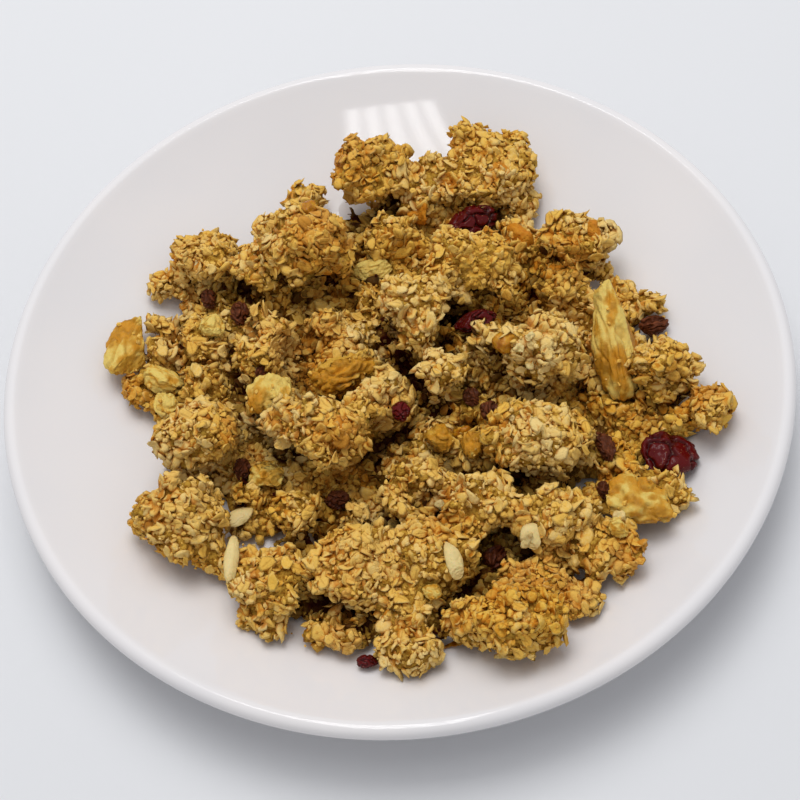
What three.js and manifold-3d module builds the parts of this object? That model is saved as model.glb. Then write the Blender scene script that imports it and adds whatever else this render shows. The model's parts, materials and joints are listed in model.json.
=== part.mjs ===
// A plate of granola: a round white coupe dish heaped with baked oat clusters, with walnut pieces, dried
// cranberries, raisins and nut slivers lying in the heap.
// Millimetres, +Z up. The origin is the centre of the dish's foot, on the surface that the dish stands on.
import * as THREE from "three";
import { mergeVertices } from "three/addons/utils/BufferGeometryUtils.js";
import Module from "manifold-3d";

const wasm = await Module();
wasm.setup();

// The dish: a flat well, a wall that rises in a shallow curve, and a round lip.
const RIM_RADIUS = 130;
const RIM_HEIGHT = 30;
const LIP_THICKNESS = 6;
const WALL_THICKNESS = 5;
const WELL_RADIUS = 60;
const FOOT_RADIUS = 72;
const FOOT_WIDTH = 5;
const FOOT_HEIGHT = 2;
const DISH_SIDES = 48;
const WALL_STEPS = 4;

// The heap: low mounds under clusters of baked oats, with flakes stuck to the clusters.
const MOUND_SIDES = 10;
const MOUND_STEPS = 3;
const FLAKE_WIDTH = 5.5;
const FLAKE_THICKNESS = 1.4;
const FLAKE_SIDES = 5;
const FLAKE_TILT = 0.55;
const CLUSTER_WIDTH_PER_FLAKE = 30;
const CLUSTER_FLATNESS = 0.9;

// Mounds of the core: [x, y, radius at the dish, height above the table].
const MOUNDS = [
  [8, -6, 70, 28],
  [18, 14, 42, 32],
  [44, -6, 26, 31],
  [22, 66, 36, 21],
  [-48, 24, 40, 24],
  [72, -18, 36, 23],
  [24, -76, 34, 20],
  [-30, -76, 25, 18],
  [80, 18, 17, 18],
  [-62, -14, 26, 20],
  [-47, -36, 24, 15],
  [-18, 64, 26, 15],
];

// Clearance between the heap, the pieces that lie in it and the dish.
const GAP = 0.35;
const HEAP_SEED = 41;

// A topping is let down from this height in these steps, and stops when less than this share of it is still
// inside the room of the dish.
const DROP_FROM = 64;
const DROP_STEP = 0.5;
const WHOLE_SHARE = 0.999;

// Oat clusters: [x, y, lift above the dish, width along x, depth along y, turn in degrees].
const CLUSTERS = [
  // against the far wall
  [44, 75, 1, 30, 29, 20],
  [39, 87, 7, 20, 17, 0],
  [52, 66, 0, 17, 20, 0],
  [1, 80, 7, 32, 27, -15],
  [22, 77, 4, 26, 19, 10],
  [-23, 78, 3, 18, 16, 20],
  [-14, 58, 3, 18, 18, 0],
  // far left
  [-24, 46, 17, 30, 29, 0],
  [-39, 47, 10, 23, 19, 20],
  [-35, 66, 4, 22, 17, -30],
  [-61, 52, 5, 28, 20, -25],
  [-57, 61, 3, 22, 14, -10],
  [-74, 50, 0, 15, 14, 0],
  [-79, 34, 0, 14, 13, 0],
  [-83, 22, 0, 16, 18, 0],
  [-86, 9, 0, 13, 21, 22],
  [-62, 22, 2, 21, 19, 0],
  [-66, 5, 4, 17, 18, 0],
  // far right
  [48, 43, 9, 14, 23, 0],
  [58, 46, 4, 16, 15, 0],
  [67, 39, 8, 26, 22, 15],
  [73, 33, 3, 11, 11, 0],
  [58, 27, 5, 26, 18, 0],
  [70, 18, 4, 13, 13, 0],
  [83, 24, 0, 11, 11, 0],
  [90, 14, 0, 13, 12, 20],
  // the middle, from far to near
  [4, 57, 5, 22, 16, 0],
  [30, 28, 19, 28, 27, 0],
  [-8, 35, 4, 20, 17, 0],
  [-40, 21, 13, 18, 13, 0],
  [-45, 9, 12, 21, 18, 0],
  [-20, 21, 7, 21, 15, 10],
  [8, 10, 22, 23, 26, 0],
  [49, -8, 20, 28, 23, 0],
  [31, 1, 17, 17, 13, 0],
  [15, -11, 20, 18, 16, 0],
  [-6, -15, 15, 24, 18, 0],
  [-22, -29, 18, 27, 24, 10],
  [-38, -20, 14, 21, 21, 0],
  [41, -38, 13, 39, 23, -12],
  // left side
  [-66, -19, 8, 30, 27, 0],
  [-75, -2, 0, 14, 25, 15],
  [-73, -48, 1, 31, 31, 0],
  [-52, -35, 4, 16, 15, 0],
  [-55, -46, 0, 15, 13, 0],
  [-38, -47, 5, 21, 18, 0],
  [-37, -60, 1, 17, 15, 0],
  // right side
  [86, -15, 5, 22, 24, 0],
  [99, -33, 0, 20, 20, 0],
  [90, -33, 0, 18, 13, 0],
  [66, -42, 5, 18, 15, 0],
  [59, -55, 1, 18, 16, 0],
  [76, -58, 0, 23, 17, -30],
  // near side
  [-48, -74, 0, 26, 28, 0],
  [-62, -60, 0, 15, 17, 0],
  [-21, -73, 5, 28, 28, 0],
  [-18, -56, 6, 19, 15, 0],
  [2, -49, 12, 27, 18, 15],
  [21, -58, 13, 24, 20, 0],
  [42, -66, 10, 26, 21, 0],
  [52, -77, 2, 20, 20, 0],
  [60, -75, 1, 19, 24, 0],
  [3, -73, 8, 30, 23, 0],
  [-6, -88, 2, 26, 20, 0],
  [-6, -102, 0, 23, 14, 0],
  [-23, -92, 0, 19, 13, 0],
  [-33, -88, 0, 15, 12, 0],
  [35, -84, 5, 20, 17, 0],
  [14, -95, 1, 20, 20, 0],
  [28, -99, 3, 29, 25, 0],
  [48, -91, 0, 15, 18, 0],
  // under the walnut piece that lies high on the left
  [-42, -9, 5, 20, 19, 0],
];

// What lies in the heap: name, kind, [x, y], [width, depth, height], [lean, roll, turn in degrees].
const TOPPINGS = [
  ["walnut_right_upright", "walnut", [72, -3], [16, 40, 15], [25, 0, 4]],
  ["walnut_right_front", "walnut", [71, -62], [23, 17, 12], [10, 8, -28]],
  ["walnut_left_rim", "walnut", [-90, 24], [14, 27, 11], [0, 15, -14]],
  ["walnut_left_long", "walnut", [-78, 10], [18, 13, 11], [0, 5, -30]],
  ["walnut_left_small", "nut", [-77, -2], [10, 10, 8], [0, 10, 40]],
  ["walnut_left_chip", "nut", [-60, 25], [11, 10, 8], [0, 20, 20]],
  ["walnut_left_top", "walnut", [-42, -10], [18, 17, 13], [10, 0, 30]],
  ["walnut_centre", "walnut", [-17, -3], [26, 19, 15], [15, -10, 20]],
  ["walnut_centre_block", "nut", [11, -31], [12, 12, 11], [0, 0, 20]],
  ["walnut_back_chip", "nut", [-3, 46], [15, 9, 7], [0, 0, 10]],
  ["walnut_left_low", "nut", [-46, -32], [13, 12, 9], [0, 10, -30]],
  ["walnut_front_crumb", "nut", [2, -85], [7, 6, 5], [0, 0, 0]],
  ["walnut_near_top", "nut", [22, -34], [9, 13, 8], [0, 0, -10]],
  ["walnut_right_chip", "nut", [61, -73], [8, 6, 5], [0, 0, -20]],
  ["cranberry_right", "cranberry", [83, -45], [22, 16, 12], [15, 10, -15]],
  ["cranberry_back", "cranberry", [32, 57], [21, 14, 12], [10, 5, 20]],
  ["cranberry_front", "cranberry", [-20, -101], [7, 5, 5], [0, 0, 0]],
  ["cranberry_centre", "cranberry", [0, -23], [8, 9, 6], [0, 0, 30]],
  ["cranberry_hollow", "cranberry", [28, 9], [15, 8, 8], [0, 0, 5]],
  ["raisin_right_edge", "raisin", [88, 8], [13, 8, 8], [0, 0, 5]],
  ["raisin_left_back", "raisin", [-61, 39], [6, 9, 7], [0, 0, 10]],
  ["raisin_left_middle", "raisin", [-50, 30], [8, 10, 7], [0, 0, 10]],
  ["raisin_top_back", "raisin", [23, -17], [7, 8, 7], [0, 0, 10]],
  ["raisin_top_near", "raisin", [28, -26], [7, 9, 7], [0, 0, -20]],
  ["raisin_right", "raisin", [63, -41], [7, 13, 7], [0, 0, 10]],
  ["raisin_left_side", "raisin", [-54, -28], [7, 9, 7], [0, 0, -10]],
  ["raisin_front_left", "raisin", [-24, -44], [10, 7, 7], [0, 0, 0]],
  ["raisin_right_low", "raisin", [60, -56], [6, 7, 6], [0, 0, 0]],
  ["raisin_front", "raisin", [23, -72], [10, 8, 7], [0, 0, 20]],
  ["raisin_left_top", "raisin", [-44, 1], [5, 5, 5], [0, 0, 0]],
  ["almond_round", "sliver", [-9, -59], [7, 7, 3], [20, 0, 0]],
  ["almond_front_long", "sliver", [10, -78], [6, 13, 3], [15, 0, 12]],
  ["almond_front_chip", "sliver", [34, -73], [7, 9, 3], [25, 0, 0]],
  ["almond_left", "sliver", [-58, -65], [5, 17, 3], [10, 20, -12]],
  ["seed_left", "sliver", [-56, -45], [11, 6.5, 2.6], [0, 0, 25]],
];

// How each kind is formed: soft waves, sharp crags, creases and their depth, and how much narrower its far end
// is, all as shares of its size. `sunk` is the share of a topping's volume that the heap takes in.
const FORMS = {
  cluster: { waves: 0.08, crag: 0.18, creases: 2, creaseDepth: 0.09, taper: 0 },
  walnut: { waves: 0.055, crag: 0.05, creases: 4, creaseDepth: 0.18, taper: 0.25, sunk: 0.2 },
  nut: { waves: 0.05, crag: 0.08, creases: 2, creaseDepth: 0.12, taper: 0, sunk: 0.3 },
  cranberry: { waves: 0.06, crag: 0.05, creases: 4, creaseDepth: 0.15, taper: 0, sunk: 0.15 },
  raisin: { waves: 0.035, crag: 0.04, creases: 3, creaseDepth: 0.12, taper: 0, sunk: 0.3 },
  sliver: { waves: 0.03, crag: 0.03, creases: 0, creaseDepth: 0, taper: 0, sunk: 0.25 },
};

// Every lump has this many soft waves, this many radians of wave to its half width, and creases this wide and
// this far from its middle, as shares of its half width.
const WAVE_COUNT = 5;
const WAVE_PITCH = 4.2;
const CREASE_WIDTH = 0.16;
const CREASE_SHIFT = 0.4;

// Largest width of a lump that is formed from each ball; the last ball takes the rest.
const BALLS = [
  { upTo: 8, make: () => new THREE.IcosahedronGeometry(1, 0) },
  { upTo: 21, make: () => new THREE.DodecahedronGeometry(1, 0) },
  { upTo: 34, make: () => new THREE.IcosahedronGeometry(1, 1) },
  { upTo: Infinity, make: () => new THREE.IcosahedronGeometry(1, 2) },
];

const MATERIALS = {
  plate: { color: 0xe3dddb, roughness: 0.18 },
  granola: { color: 0xb0854a, roughness: 0.7 },
  walnut: { color: 0xc48a33, roughness: 0.55 },
  nut: { color: 0xd6a44e, roughness: 0.6 },
  cranberry: { color: 0x5e1414, roughness: 0.35 },
  raisin: { color: 0x33150c, roughness: 0.4 },
  sliver: { color: 0xdcc08a, roughness: 0.6 },
};

// A repeatable draw of numbers from 0 to 1.
function seededDraw(seed) {
  let state = seed * 7919 + 17;
  return () => {
    state = (state + 0x6d2b79f5) | 0;
    let mixed = Math.imul(state ^ (state >>> 15), 1 | state);
    mixed = (mixed + Math.imul(mixed ^ (mixed >>> 7), 61 | mixed)) ^ mixed;
    return ((mixed ^ (mixed >>> 14)) >>> 0) / 4294967296;
  };
}

function randomDirection(draw) {
  const height = 2 * draw() - 1;
  const turn = 2 * Math.PI * draw();
  const across = Math.sqrt(1 - height * height);
  return new THREE.Vector3(across * Math.cos(turn), across * Math.sin(turn), height);
}

// A geometry whose shared corners are one vertex, with positions only.
function weld(geometry) {
  geometry.deleteAttribute("normal");
  geometry.deleteAttribute("uv");
  return mergeVertices(geometry, 1e-3);
}

function solid(geometry) {
  const welded = weld(geometry);
  const vertProperties = welded.attributes.position.array;
  const triVerts = new Uint32Array(welded.index.array);
  return new wasm.Manifold(new wasm.Mesh({ numProp: 3, vertProperties, triVerts }));
}

function geometryOf(manifold) {
  const { vertProperties, triVerts } = manifold.getMesh();
  const geometry = new THREE.BufferGeometry();
  geometry.setAttribute("position", new THREE.BufferAttribute(vertProperties, 3));
  geometry.setIndex(new THREE.BufferAttribute(triVerts, 1));
  return geometry;
}

// The dish's wall is a band about a middle line that rises as the square of the distance past the well.
const WALL_RUN = RIM_RADIUS - LIP_THICKNESS / 2 - WELL_RADIUS;
const WALL_RISE = RIM_HEIGHT - LIP_THICKNESS / 2 - FOOT_HEIGHT - WALL_THICKNESS / 2;

function wallAt(radius) {
  const along = Math.max(0, (radius - WELL_RADIUS) / WALL_RUN);
  return {
    middle: FOOT_HEIGHT + WALL_THICKNESS / 2 + WALL_RISE * along * along,
    slope: Math.atan((2 * WALL_RISE * along) / WALL_RUN),
    half: THREE.MathUtils.lerp(WALL_THICKNESS, LIP_THICKNESS, Math.min(1, along)) / 2,
  };
}

// Height of the dish's upper face at a distance from the axis.
function dishTop(radius) {
  const { middle, slope, half } = wallAt(radius);
  return middle + half / Math.cos(slope);
}

// A point of the wall's face, upper (side 1) or lower (side -1).
function wallFace(radius, side) {
  const { middle, slope, half } = wallAt(radius);
  return new THREE.Vector2(radius - side * half * Math.sin(slope), middle + side * half * Math.cos(slope));
}

// Distances from the axis at which a face of the wall has its corners, from start to the lip's middle.
function wallRadii(start) {
  const lipMiddle = RIM_RADIUS - LIP_THICKNESS / 2;
  return Array.from({ length: WALL_STEPS }, (_, i) => THREE.MathUtils.lerp(start, lipMiddle, i / WALL_STEPS));
}

function dishGeometry() {
  const footOuter = FOOT_RADIUS + FOOT_WIDTH / 2;
  const footInner = FOOT_RADIUS - FOOT_WIDTH / 2;
  const profile = [
    new THREE.Vector2(0, FOOT_HEIGHT),
    new THREE.Vector2(footInner - FOOT_HEIGHT, FOOT_HEIGHT),
    new THREE.Vector2(footInner, 0),
    new THREE.Vector2(footOuter, 0),
  ];
  for (const radius of wallRadii(footOuter + FOOT_HEIGHT)) profile.push(wallFace(radius, -1));
  const lipMiddle = RIM_RADIUS - LIP_THICKNESS / 2;
  const { middle, slope, half } = wallAt(lipMiddle);
  for (const angle of [slope - Math.PI / 2, 0, Math.PI / 4, Math.PI / 2, slope + Math.PI / 2]) {
    profile.push(new THREE.Vector2(lipMiddle + half * Math.cos(angle), middle + half * Math.sin(angle)));
  }
  for (const radius of wallRadii(WELL_RADIUS).reverse()) profile.push(wallFace(radius, 1));
  profile.push(new THREE.Vector2(0, dishTop(0)));
  return standingLathe(profile, DISH_SIDES);
}

// Turns a profile of (distance from the axis, height) about the Z axis.
function standingLathe(profile, sides) {
  return weld(new THREE.LatheGeometry(profile, sides)).rotateX(Math.PI / 2);
}

// The room inside the dish, a gap above its upper face and with the same corners in outline.
function roomInDish() {
  const corners = wallRadii(WELL_RADIUS).map((radius) => wallFace(radius, 1));
  corners.push(wallFace(RIM_RADIUS - LIP_THICKNESS / 2, 1));
  const reach = corners.at(-1).x;
  const ceiling = 3 * RIM_HEIGHT;
  const profile = [
    new THREE.Vector2(0, dishTop(0) + GAP),
    ...corners.map(({ x, y }) => new THREE.Vector2(x, y + GAP)),
    new THREE.Vector2(reach, ceiling),
    new THREE.Vector2(0, ceiling),
  ];
  return solid(standingLathe(profile, DISH_SIDES / 2));
}

// A closed lump: a ball of few faces whose corners move in and out by soft waves, sharp crags and creases,
// stretched to the given size. `grow` moves its whole skin outwards.
function lumpGeometry(size, form, seed, grow = 0) {
  const draw = seededDraw(seed);
  const waves = Array.from({ length: WAVE_COUNT }, () => ({
    along: randomDirection(draw),
    phase: 2 * Math.PI * draw(),
  }));
  const creases = Array.from({ length: form.creases }, () => ({
    across: randomDirection(draw),
    shift: CREASE_SHIFT * (2 * draw() - 1),
  }));
  const half = new THREE.Vector3(...size).multiplyScalar(0.5).addScalar(grow);
  const ball = weld(BALLS.find(({ upTo }) => Math.max(...size) <= upTo).make());
  const corners = ball.attributes.position;
  const direction = new THREE.Vector3();
  for (let i = 0; i < corners.count; i++) {
    direction.fromBufferAttribute(corners, i).normalize();
    let reach = 1 + form.crag * (2 * draw() - 1);
    for (const { along, phase } of waves) {
      reach += form.waves * Math.cos(WAVE_PITCH * direction.dot(along) + phase);
    }
    for (const { across, shift } of creases) {
      const off = (direction.dot(across) - shift) / CREASE_WIDTH;
      reach -= form.creaseDepth * Math.exp(-off * off);
    }
    const narrowing = 1 - form.taper * direction.y;
    const point = direction.multiplyScalar(reach).multiply(half);
    corners.setXYZ(i, point.x * narrowing, point.y, point.z * narrowing);
  }
  return ball;
}

function radians([lean, roll, turn]) {
  return new THREE.Euler(...[lean, roll, turn].map(THREE.MathUtils.degToRad));
}

function placement(position, turns) {
  const turn = new THREE.Quaternion().setFromEuler(radians(turns));
  return new THREE.Matrix4().compose(new THREE.Vector3(...position), turn, new THREE.Vector3(1, 1, 1));
}

// A cluster's size and how it is placed: it is a little lower than it is wide.
function clusterAt([x, y, lift, width, depth, turn]) {
  const height = CLUSTER_FLATNESS * Math.min(width, depth);
  const middle = dishTop(Math.hypot(x, y)) + height / 2 + lift;
  return { size: [width, depth, height], place: placement([x, y, middle], [0, 0, turn]) };
}

function moundSolid([x, y, radius, top]) {
  const profile = [new THREE.Vector2(0, 0), new THREE.Vector2(radius, 0)];
  for (let i = 1; i < MOUND_STEPS; i++) {
    const angle = (Math.PI / 2) * (i / MOUND_STEPS);
    profile.push(new THREE.Vector2(radius * Math.cos(angle), top * Math.sin(angle)));
  }
  profile.push(new THREE.Vector2(0, top));
  return solid(standingLathe(profile, MOUND_SIDES).translate(x, y, 0));
}

// Oat flakes stuck to a cluster: thin tablets that lie on its skin, each tilted a little its own way.
function flakeSolids({ size, place }, seed) {
  const draw = seededDraw(seed);
  const half = new THREE.Vector3(...size).multiplyScalar(0.5);
  const count = Math.floor(Math.max(...size) / CLUSTER_WIDTH_PER_FLAKE);
  return Array.from({ length: count }, () => {
    const direction = randomDirection(draw);
    direction.z = Math.abs(direction.z);
    const outward = direction.clone().divide(half).normalize();
    outward.add(randomDirection(draw).multiplyScalar(FLAKE_TILT)).normalize();
    const width = FLAKE_WIDTH * (0.8 + 0.5 * draw());
    const flake = new THREE.CylinderGeometry(width / 2, width / 2, FLAKE_THICKNESS, FLAKE_SIDES);
    flake.applyQuaternion(new THREE.Quaternion().setFromUnitVectors(new THREE.Vector3(0, 1, 0), outward));
    const spot = direction.multiply(half).multiplyScalar(1.02);
    return solid(flake.translate(spot.x, spot.y, spot.z).applyMatrix4(place));
  });
}

// Core, clusters and flakes joined, before anything is laid in them.
function bareHeap(room) {
  const pieces = MOUNDS.map(moundSolid);
  CLUSTERS.forEach((row, i) => {
    const cluster = clusterAt(row);
    const lump = lumpGeometry(cluster.size, FORMS.cluster, HEAP_SEED + i).applyMatrix4(cluster.place);
    pieces.push(solid(lump), ...flakeSolids(cluster, HEAP_SEED * 31 + i));
  });
  return wasm.Manifold.union(pieces).intersect(room);
}

// The height at which a topping lies: let down from above until the heap has taken in its share of it, or
// until it meets the dish.
function restingHeight([, kind, [x, y], size, turns], seed, heap, room) {
  const volume = solid(lumpGeometry(size, FORMS[kind], seed)).volume();
  const placed = (height) =>
    solid(lumpGeometry(size, FORMS[kind], seed).applyMatrix4(placement([x, y, height], turns)));
  let height = DROP_FROM;
  let within;
  let taken;
  do {
    height -= DROP_STEP;
    const topping = placed(height);
    within = topping.intersect(room).volume() / volume;
    taken = topping.intersect(heap).volume() / volume;
  } while (taken < FORMS[kind].sunk && within > WHOLE_SHARE);
  return within > WHOLE_SHARE ? height : height + DROP_STEP;
}

// Places every topping, then takes its room and a gap out of the heap, and keeps the heap's one large body.
function layToppings(heap, room) {
  const toppings = TOPPINGS.map(([name, kind, [x, y], size, turns], seed) => {
    const height = restingHeight([name, kind, [x, y], size, turns], seed, heap, room);
    return { name, kind, size, seed, turns, position: [x, y, height] };
  });
  const hollows = toppings.map(({ kind, size, seed, turns, position }) =>
    solid(lumpGeometry(size, FORMS[kind], seed, GAP).applyMatrix4(placement(position, turns))),
  );
  const bodies = heap.subtract(wasm.Manifold.union(hollows)).decompose();
  bodies.sort((a, b) => b.volume() - a.volume());
  return { toppings, heapGeometry: geometryOf(bodies[0]) };
}

function material(kind) {
  return new THREE.MeshStandardMaterial({ name: kind, metalness: 0, ...MATERIALS[kind] });
}

function piece(name, kind, geometry) {
  const mesh = new THREE.Mesh(geometry, material(kind));
  mesh.name = name;
  return mesh;
}

const room = roomInDish();
const { toppings, heapGeometry } = layToppings(bareHeap(room), room);

const toppingGroup = new THREE.Group();
for (const { name, kind, size, seed, turns, position } of toppings) {
  const mesh = piece(name, kind, lumpGeometry(size, FORMS[kind], seed));
  mesh.position.set(...position);
  mesh.rotation.copy(radians(turns));
  toppingGroup.add(mesh);
}

const plateOfGranola = new THREE.Group();
plateOfGranola.add(piece("plate", "plate", dishGeometry()), piece("granola_heap", "granola", heapGeometry));
plateOfGranola.add(toppingGroup);

export default plateOfGranola;
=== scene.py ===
"""A plate of granola: a white coupe dish with baked oat clusters, walnuts, cranberries and raisins."""

import json
import math
import random

import bmesh
import bpy
import numpy as np
from bpy.props import FloatProperty, FloatVectorProperty, IntProperty, PointerProperty
from mathutils import Matrix, Vector, noise
from mathutils.bvhtree import BVHTree

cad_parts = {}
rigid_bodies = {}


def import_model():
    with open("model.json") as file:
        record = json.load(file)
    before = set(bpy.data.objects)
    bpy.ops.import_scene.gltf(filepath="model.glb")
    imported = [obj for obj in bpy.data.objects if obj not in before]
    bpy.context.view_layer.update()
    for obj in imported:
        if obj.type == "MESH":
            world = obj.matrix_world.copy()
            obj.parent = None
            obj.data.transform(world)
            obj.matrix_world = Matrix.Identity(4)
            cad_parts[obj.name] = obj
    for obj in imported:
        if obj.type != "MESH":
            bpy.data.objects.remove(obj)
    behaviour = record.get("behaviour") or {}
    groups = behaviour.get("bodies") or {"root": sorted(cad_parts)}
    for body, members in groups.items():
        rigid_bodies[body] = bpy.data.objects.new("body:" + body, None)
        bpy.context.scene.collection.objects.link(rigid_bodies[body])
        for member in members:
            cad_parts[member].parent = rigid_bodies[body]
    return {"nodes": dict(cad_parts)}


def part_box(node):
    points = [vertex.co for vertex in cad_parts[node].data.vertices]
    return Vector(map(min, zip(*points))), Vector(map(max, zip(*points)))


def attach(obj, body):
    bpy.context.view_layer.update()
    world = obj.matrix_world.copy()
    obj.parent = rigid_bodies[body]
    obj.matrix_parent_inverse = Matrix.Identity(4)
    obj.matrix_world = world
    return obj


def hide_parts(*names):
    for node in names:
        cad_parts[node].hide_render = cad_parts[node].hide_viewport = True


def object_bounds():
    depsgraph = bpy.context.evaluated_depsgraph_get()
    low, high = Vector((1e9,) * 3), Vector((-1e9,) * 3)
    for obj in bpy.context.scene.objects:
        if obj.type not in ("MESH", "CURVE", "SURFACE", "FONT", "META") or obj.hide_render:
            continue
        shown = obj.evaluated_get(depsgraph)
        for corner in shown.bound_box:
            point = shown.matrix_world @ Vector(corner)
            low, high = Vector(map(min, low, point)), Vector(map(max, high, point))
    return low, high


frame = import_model()
CAD_LOW, CAD_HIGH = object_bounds()

bl_info = {
    "name": "Plate of Granola",
    "version": (1, 0, 0),
    "blender": (4, 5, 0),
    "location": "3D View > Sidebar > Granola",
    "description": "Builds a coupe plate heaped with granola clusters, nuts and dried fruit",
    "category": "Add Mesh",
}

MM = 0.001
PHOTO_SIZE = 800
MOST_TRIANGLES = 200000
HEAP = "granola_heap"
CORE = "granola_core"

# The kinds of toppings, as their nodes' names start, and the finish of each.
TOPPING_KINDS = {
    "walnut": "walnut",
    "cranberry": "cranberry",
    "raisin": "raisin",
    "almond": "nut_sliver",
    "seed": "nut_sliver",
}


def toppings(kind=None):
    """The CAD nodes that lie in the heap, or those of one kind."""
    found = sorted(n for n in frame["nodes"] if n.split("_")[0] in TOPPING_KINDS)
    return [n for n in found if kind is None or n.startswith(kind)]


# ---------------------------------------------------------------- settings

def length(name, description, millimetres):
    """A setting that is a length, given in millimetres."""
    return FloatProperty(name=name, description=description, default=millimetres * MM, unit="LENGTH")


def colour(name, description, red, green, blue):
    """A setting that is a colour."""
    return FloatVectorProperty(
        name=name, description=description, default=(red, green, blue), subtype="COLOR", min=0, max=1
    )


class PlateSettings(bpy.types.PropertyGroup):
    """The sizes and colours of the dish."""

    rim_radius: length("Rim radius", "Radius of the dish over its lip", CAD_HIGH.x / MM)
    rim_height: length("Rim height", "Height of the lip above the table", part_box("plate")[1].z / MM)
    lip: length("Lip", "Thickness of the rounded lip", 6)
    wall: length("Wall", "Thickness of the well", 5)
    well_radius: length("Well radius", "Radius of the flat well", 60)
    foot_radius: length("Foot radius", "Middle radius of the foot ring", 72)
    foot_width: length("Foot width", "Width of the foot ring", 5)
    foot_height: length("Foot height", "Height of the foot ring", 2)
    sides: IntProperty(name="Sides", description="Steps round the dish", default=256)
    glaze: colour("Glaze", "Colour of the white glaze", 0.80, 0.77, 0.765)
    bisque: colour("Bisque", "Colour of the bare clay under the foot", 0.62, 0.57, 0.50)


class GranolaSettings(bpy.types.PropertyGroup):
    """The sizes and colours of the baked oats."""

    grid: length("Core grid", "Size of the core's faces", 1.28)
    inset: length("Core inset", "How far the core stays under the flakes", 0.8)
    relief: length("Core relief", "Height of the soft waves on the core", 1.3)
    hollow: length("Hollow", "Deepest that a hollow between clusters is drawn down", 13.0)
    nugget: length("Nugget", "Size of the nuggets that the clusters are packed from", 7.0)
    pit: length("Pit", "Depth of the pits between single oats", 1.0)
    flake_length: length("Flake length", "Length of a middling oat flake", 5.0)
    flake_width: length("Flake width", "Width of a middling oat flake", 3.5)
    flake_thickness: length("Flake thickness", "Thickness of an oat flake", 1.05)
    flake_gap: length("Flake gap", "Least distance between the middles of two flakes of a kind", 1.5)
    flake_lean: FloatProperty(
        name="Flake lean", description="Most that a flake leans out of the cluster", default=0.75,
        subtype="ANGLE",
    )
    crumb_gap: length("Crumb gap", "Least distance between the middles of two crumbs", 1.9)
    pale: colour("Pale oat", "Colour of the palest flakes", 0.83, 0.605, 0.235)
    golden: colour("Golden oat", "Colour of the golden flakes", 0.78, 0.455, 0.066)
    toasted: colour("Toasted oat", "Colour of the toasted flakes", 0.60, 0.24, 0.015)
    # The crevice colour is painted shade between the flakes, and also the dark tone of the toasted crust's
    # grain.
    crevice_shade_and_crust: colour("Crevice", "Colour of the baked oats between the flakes", 0.55, 0.185, 0.008)
    # The dark syrup colour is painted shade: it is mixed in where a surface sees little sky deep in the heap.
    deep_shade_colour: colour("Dark syrup", "Colour of the baked syrup deep in the heap", 0.035, 0.003, 0.0005)
    seed: IntProperty(name="Seed", description="Seed of everything that is scattered", default=7)


class ToppingSettings(bpy.types.PropertyGroup):
    """The colours of the nuts and the fruit."""

    walnut: colour("Walnut", "Colour of the walnut's flesh", 0.72, 0.53, 0.135)
    walnut_skin: colour("Walnut skin", "Colour of the walnut's toasted skin", 0.60, 0.25, 0.012)
    cranberry: colour("Cranberry", "Colour of the dried cranberries", 0.095, 0.002, 0.002)
    cranberry_bloom: colour("Cranberry bloom", "Colour of the oat dust on the cranberries", 0.50, 0.26, 0.12)
    raisin: colour("Raisin", "Colour of the raisins", 0.075, 0.019, 0.006)
    almond: colour("Almond", "Colour of the nut slivers", 0.66, 0.51, 0.21)
    peel: colour("Peel", "Colour of the candied peel", 0.58, 0.27, 0.012)


class StudioSettings(bpy.types.PropertyGroup):
    """The camera, the table top and the light."""

    camera_distance: length("Camera distance", "From the target to the camera", 555.9)
    camera_elevation: FloatProperty(
        name="Camera elevation", description="Above the horizon", default=math.radians(58.31), subtype="ANGLE"
    )
    camera_roll: FloatProperty(
        name="Camera roll", description="Turn of the camera about its axis", default=math.radians(-7.413),
        subtype="ANGLE",
    )
    field_of_view: FloatProperty(
        name="Field of view", description="Across the picture", default=math.radians(27.0), subtype="ANGLE"
    )
    room: colour("Room", "Colour of the light from all round", 0.945, 0.96, 1.0)
    room_strength: FloatProperty(name="Room strength", description="Strength of that light", default=0.5)
    panel_power: FloatProperty(
        name="Panel power", description="Soft panel overhead", default=12.6, unit="POWER"
    )
    diffuser_power: FloatProperty(
        name="Diffuser power", description="Diffuser of the ceiling light", default=2.9, unit="POWER"
    )
    tube_power: FloatProperty(
        name="Tube power", description="Each tube of the ceiling light", default=0.46, unit="POWER"
    )
    floor: colour("Floor", "Colour of the table top", 0.735, 0.74, 0.755)


# ---------------------------------------------------------------- mesh helpers

def finished(name, mesh, *, replaces=(), smooth=True):
    """Puts a mesh in the scene as a finished piece of the object."""
    piece = bpy.data.objects.new(name, mesh)
    bpy.context.scene.collection.objects.link(piece)
    if smooth:
        mesh.shade_smooth()
    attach(piece, "root")
    if replaces:
        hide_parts(*replaces)
    return piece


def plain_mesh(holder):
    """The holder's mesh with its modifiers carried out; the holder is removed."""
    depsgraph = bpy.context.evaluated_depsgraph_get()
    mesh = bpy.data.meshes.new_from_object(
        holder.evaluated_get(depsgraph), preserve_all_data_layers=True, depsgraph=depsgraph
    )
    bpy.data.objects.remove(holder)
    return mesh


def with_modifiers(mesh, *steps):
    """The mesh after modifiers, each given as its type and its settings."""
    holder = bpy.data.objects.new("holder", mesh)
    bpy.context.scene.collection.objects.link(holder)
    for kind, settings in steps:
        modifier = holder.modifiers.new(kind, kind)
        for key, value in settings.items():
            setattr(modifier, key, value)
    return plain_mesh(holder)


def merged_copy(node):
    """A CAD node's mesh with its doubles merged, as a new mesh."""
    work = bmesh.new()
    work.from_mesh(frame["nodes"][node].data)
    bmesh.ops.remove_doubles(work, verts=work.verts, dist=0.002 * MM)
    work.verts.index_update()
    mesh = bpy.data.meshes.new(node + "_copy")
    mesh.from_pydata([v.co for v in work.verts], [], [[v.index for v in f.verts] for f in work.faces])
    work.free()
    return mesh


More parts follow.
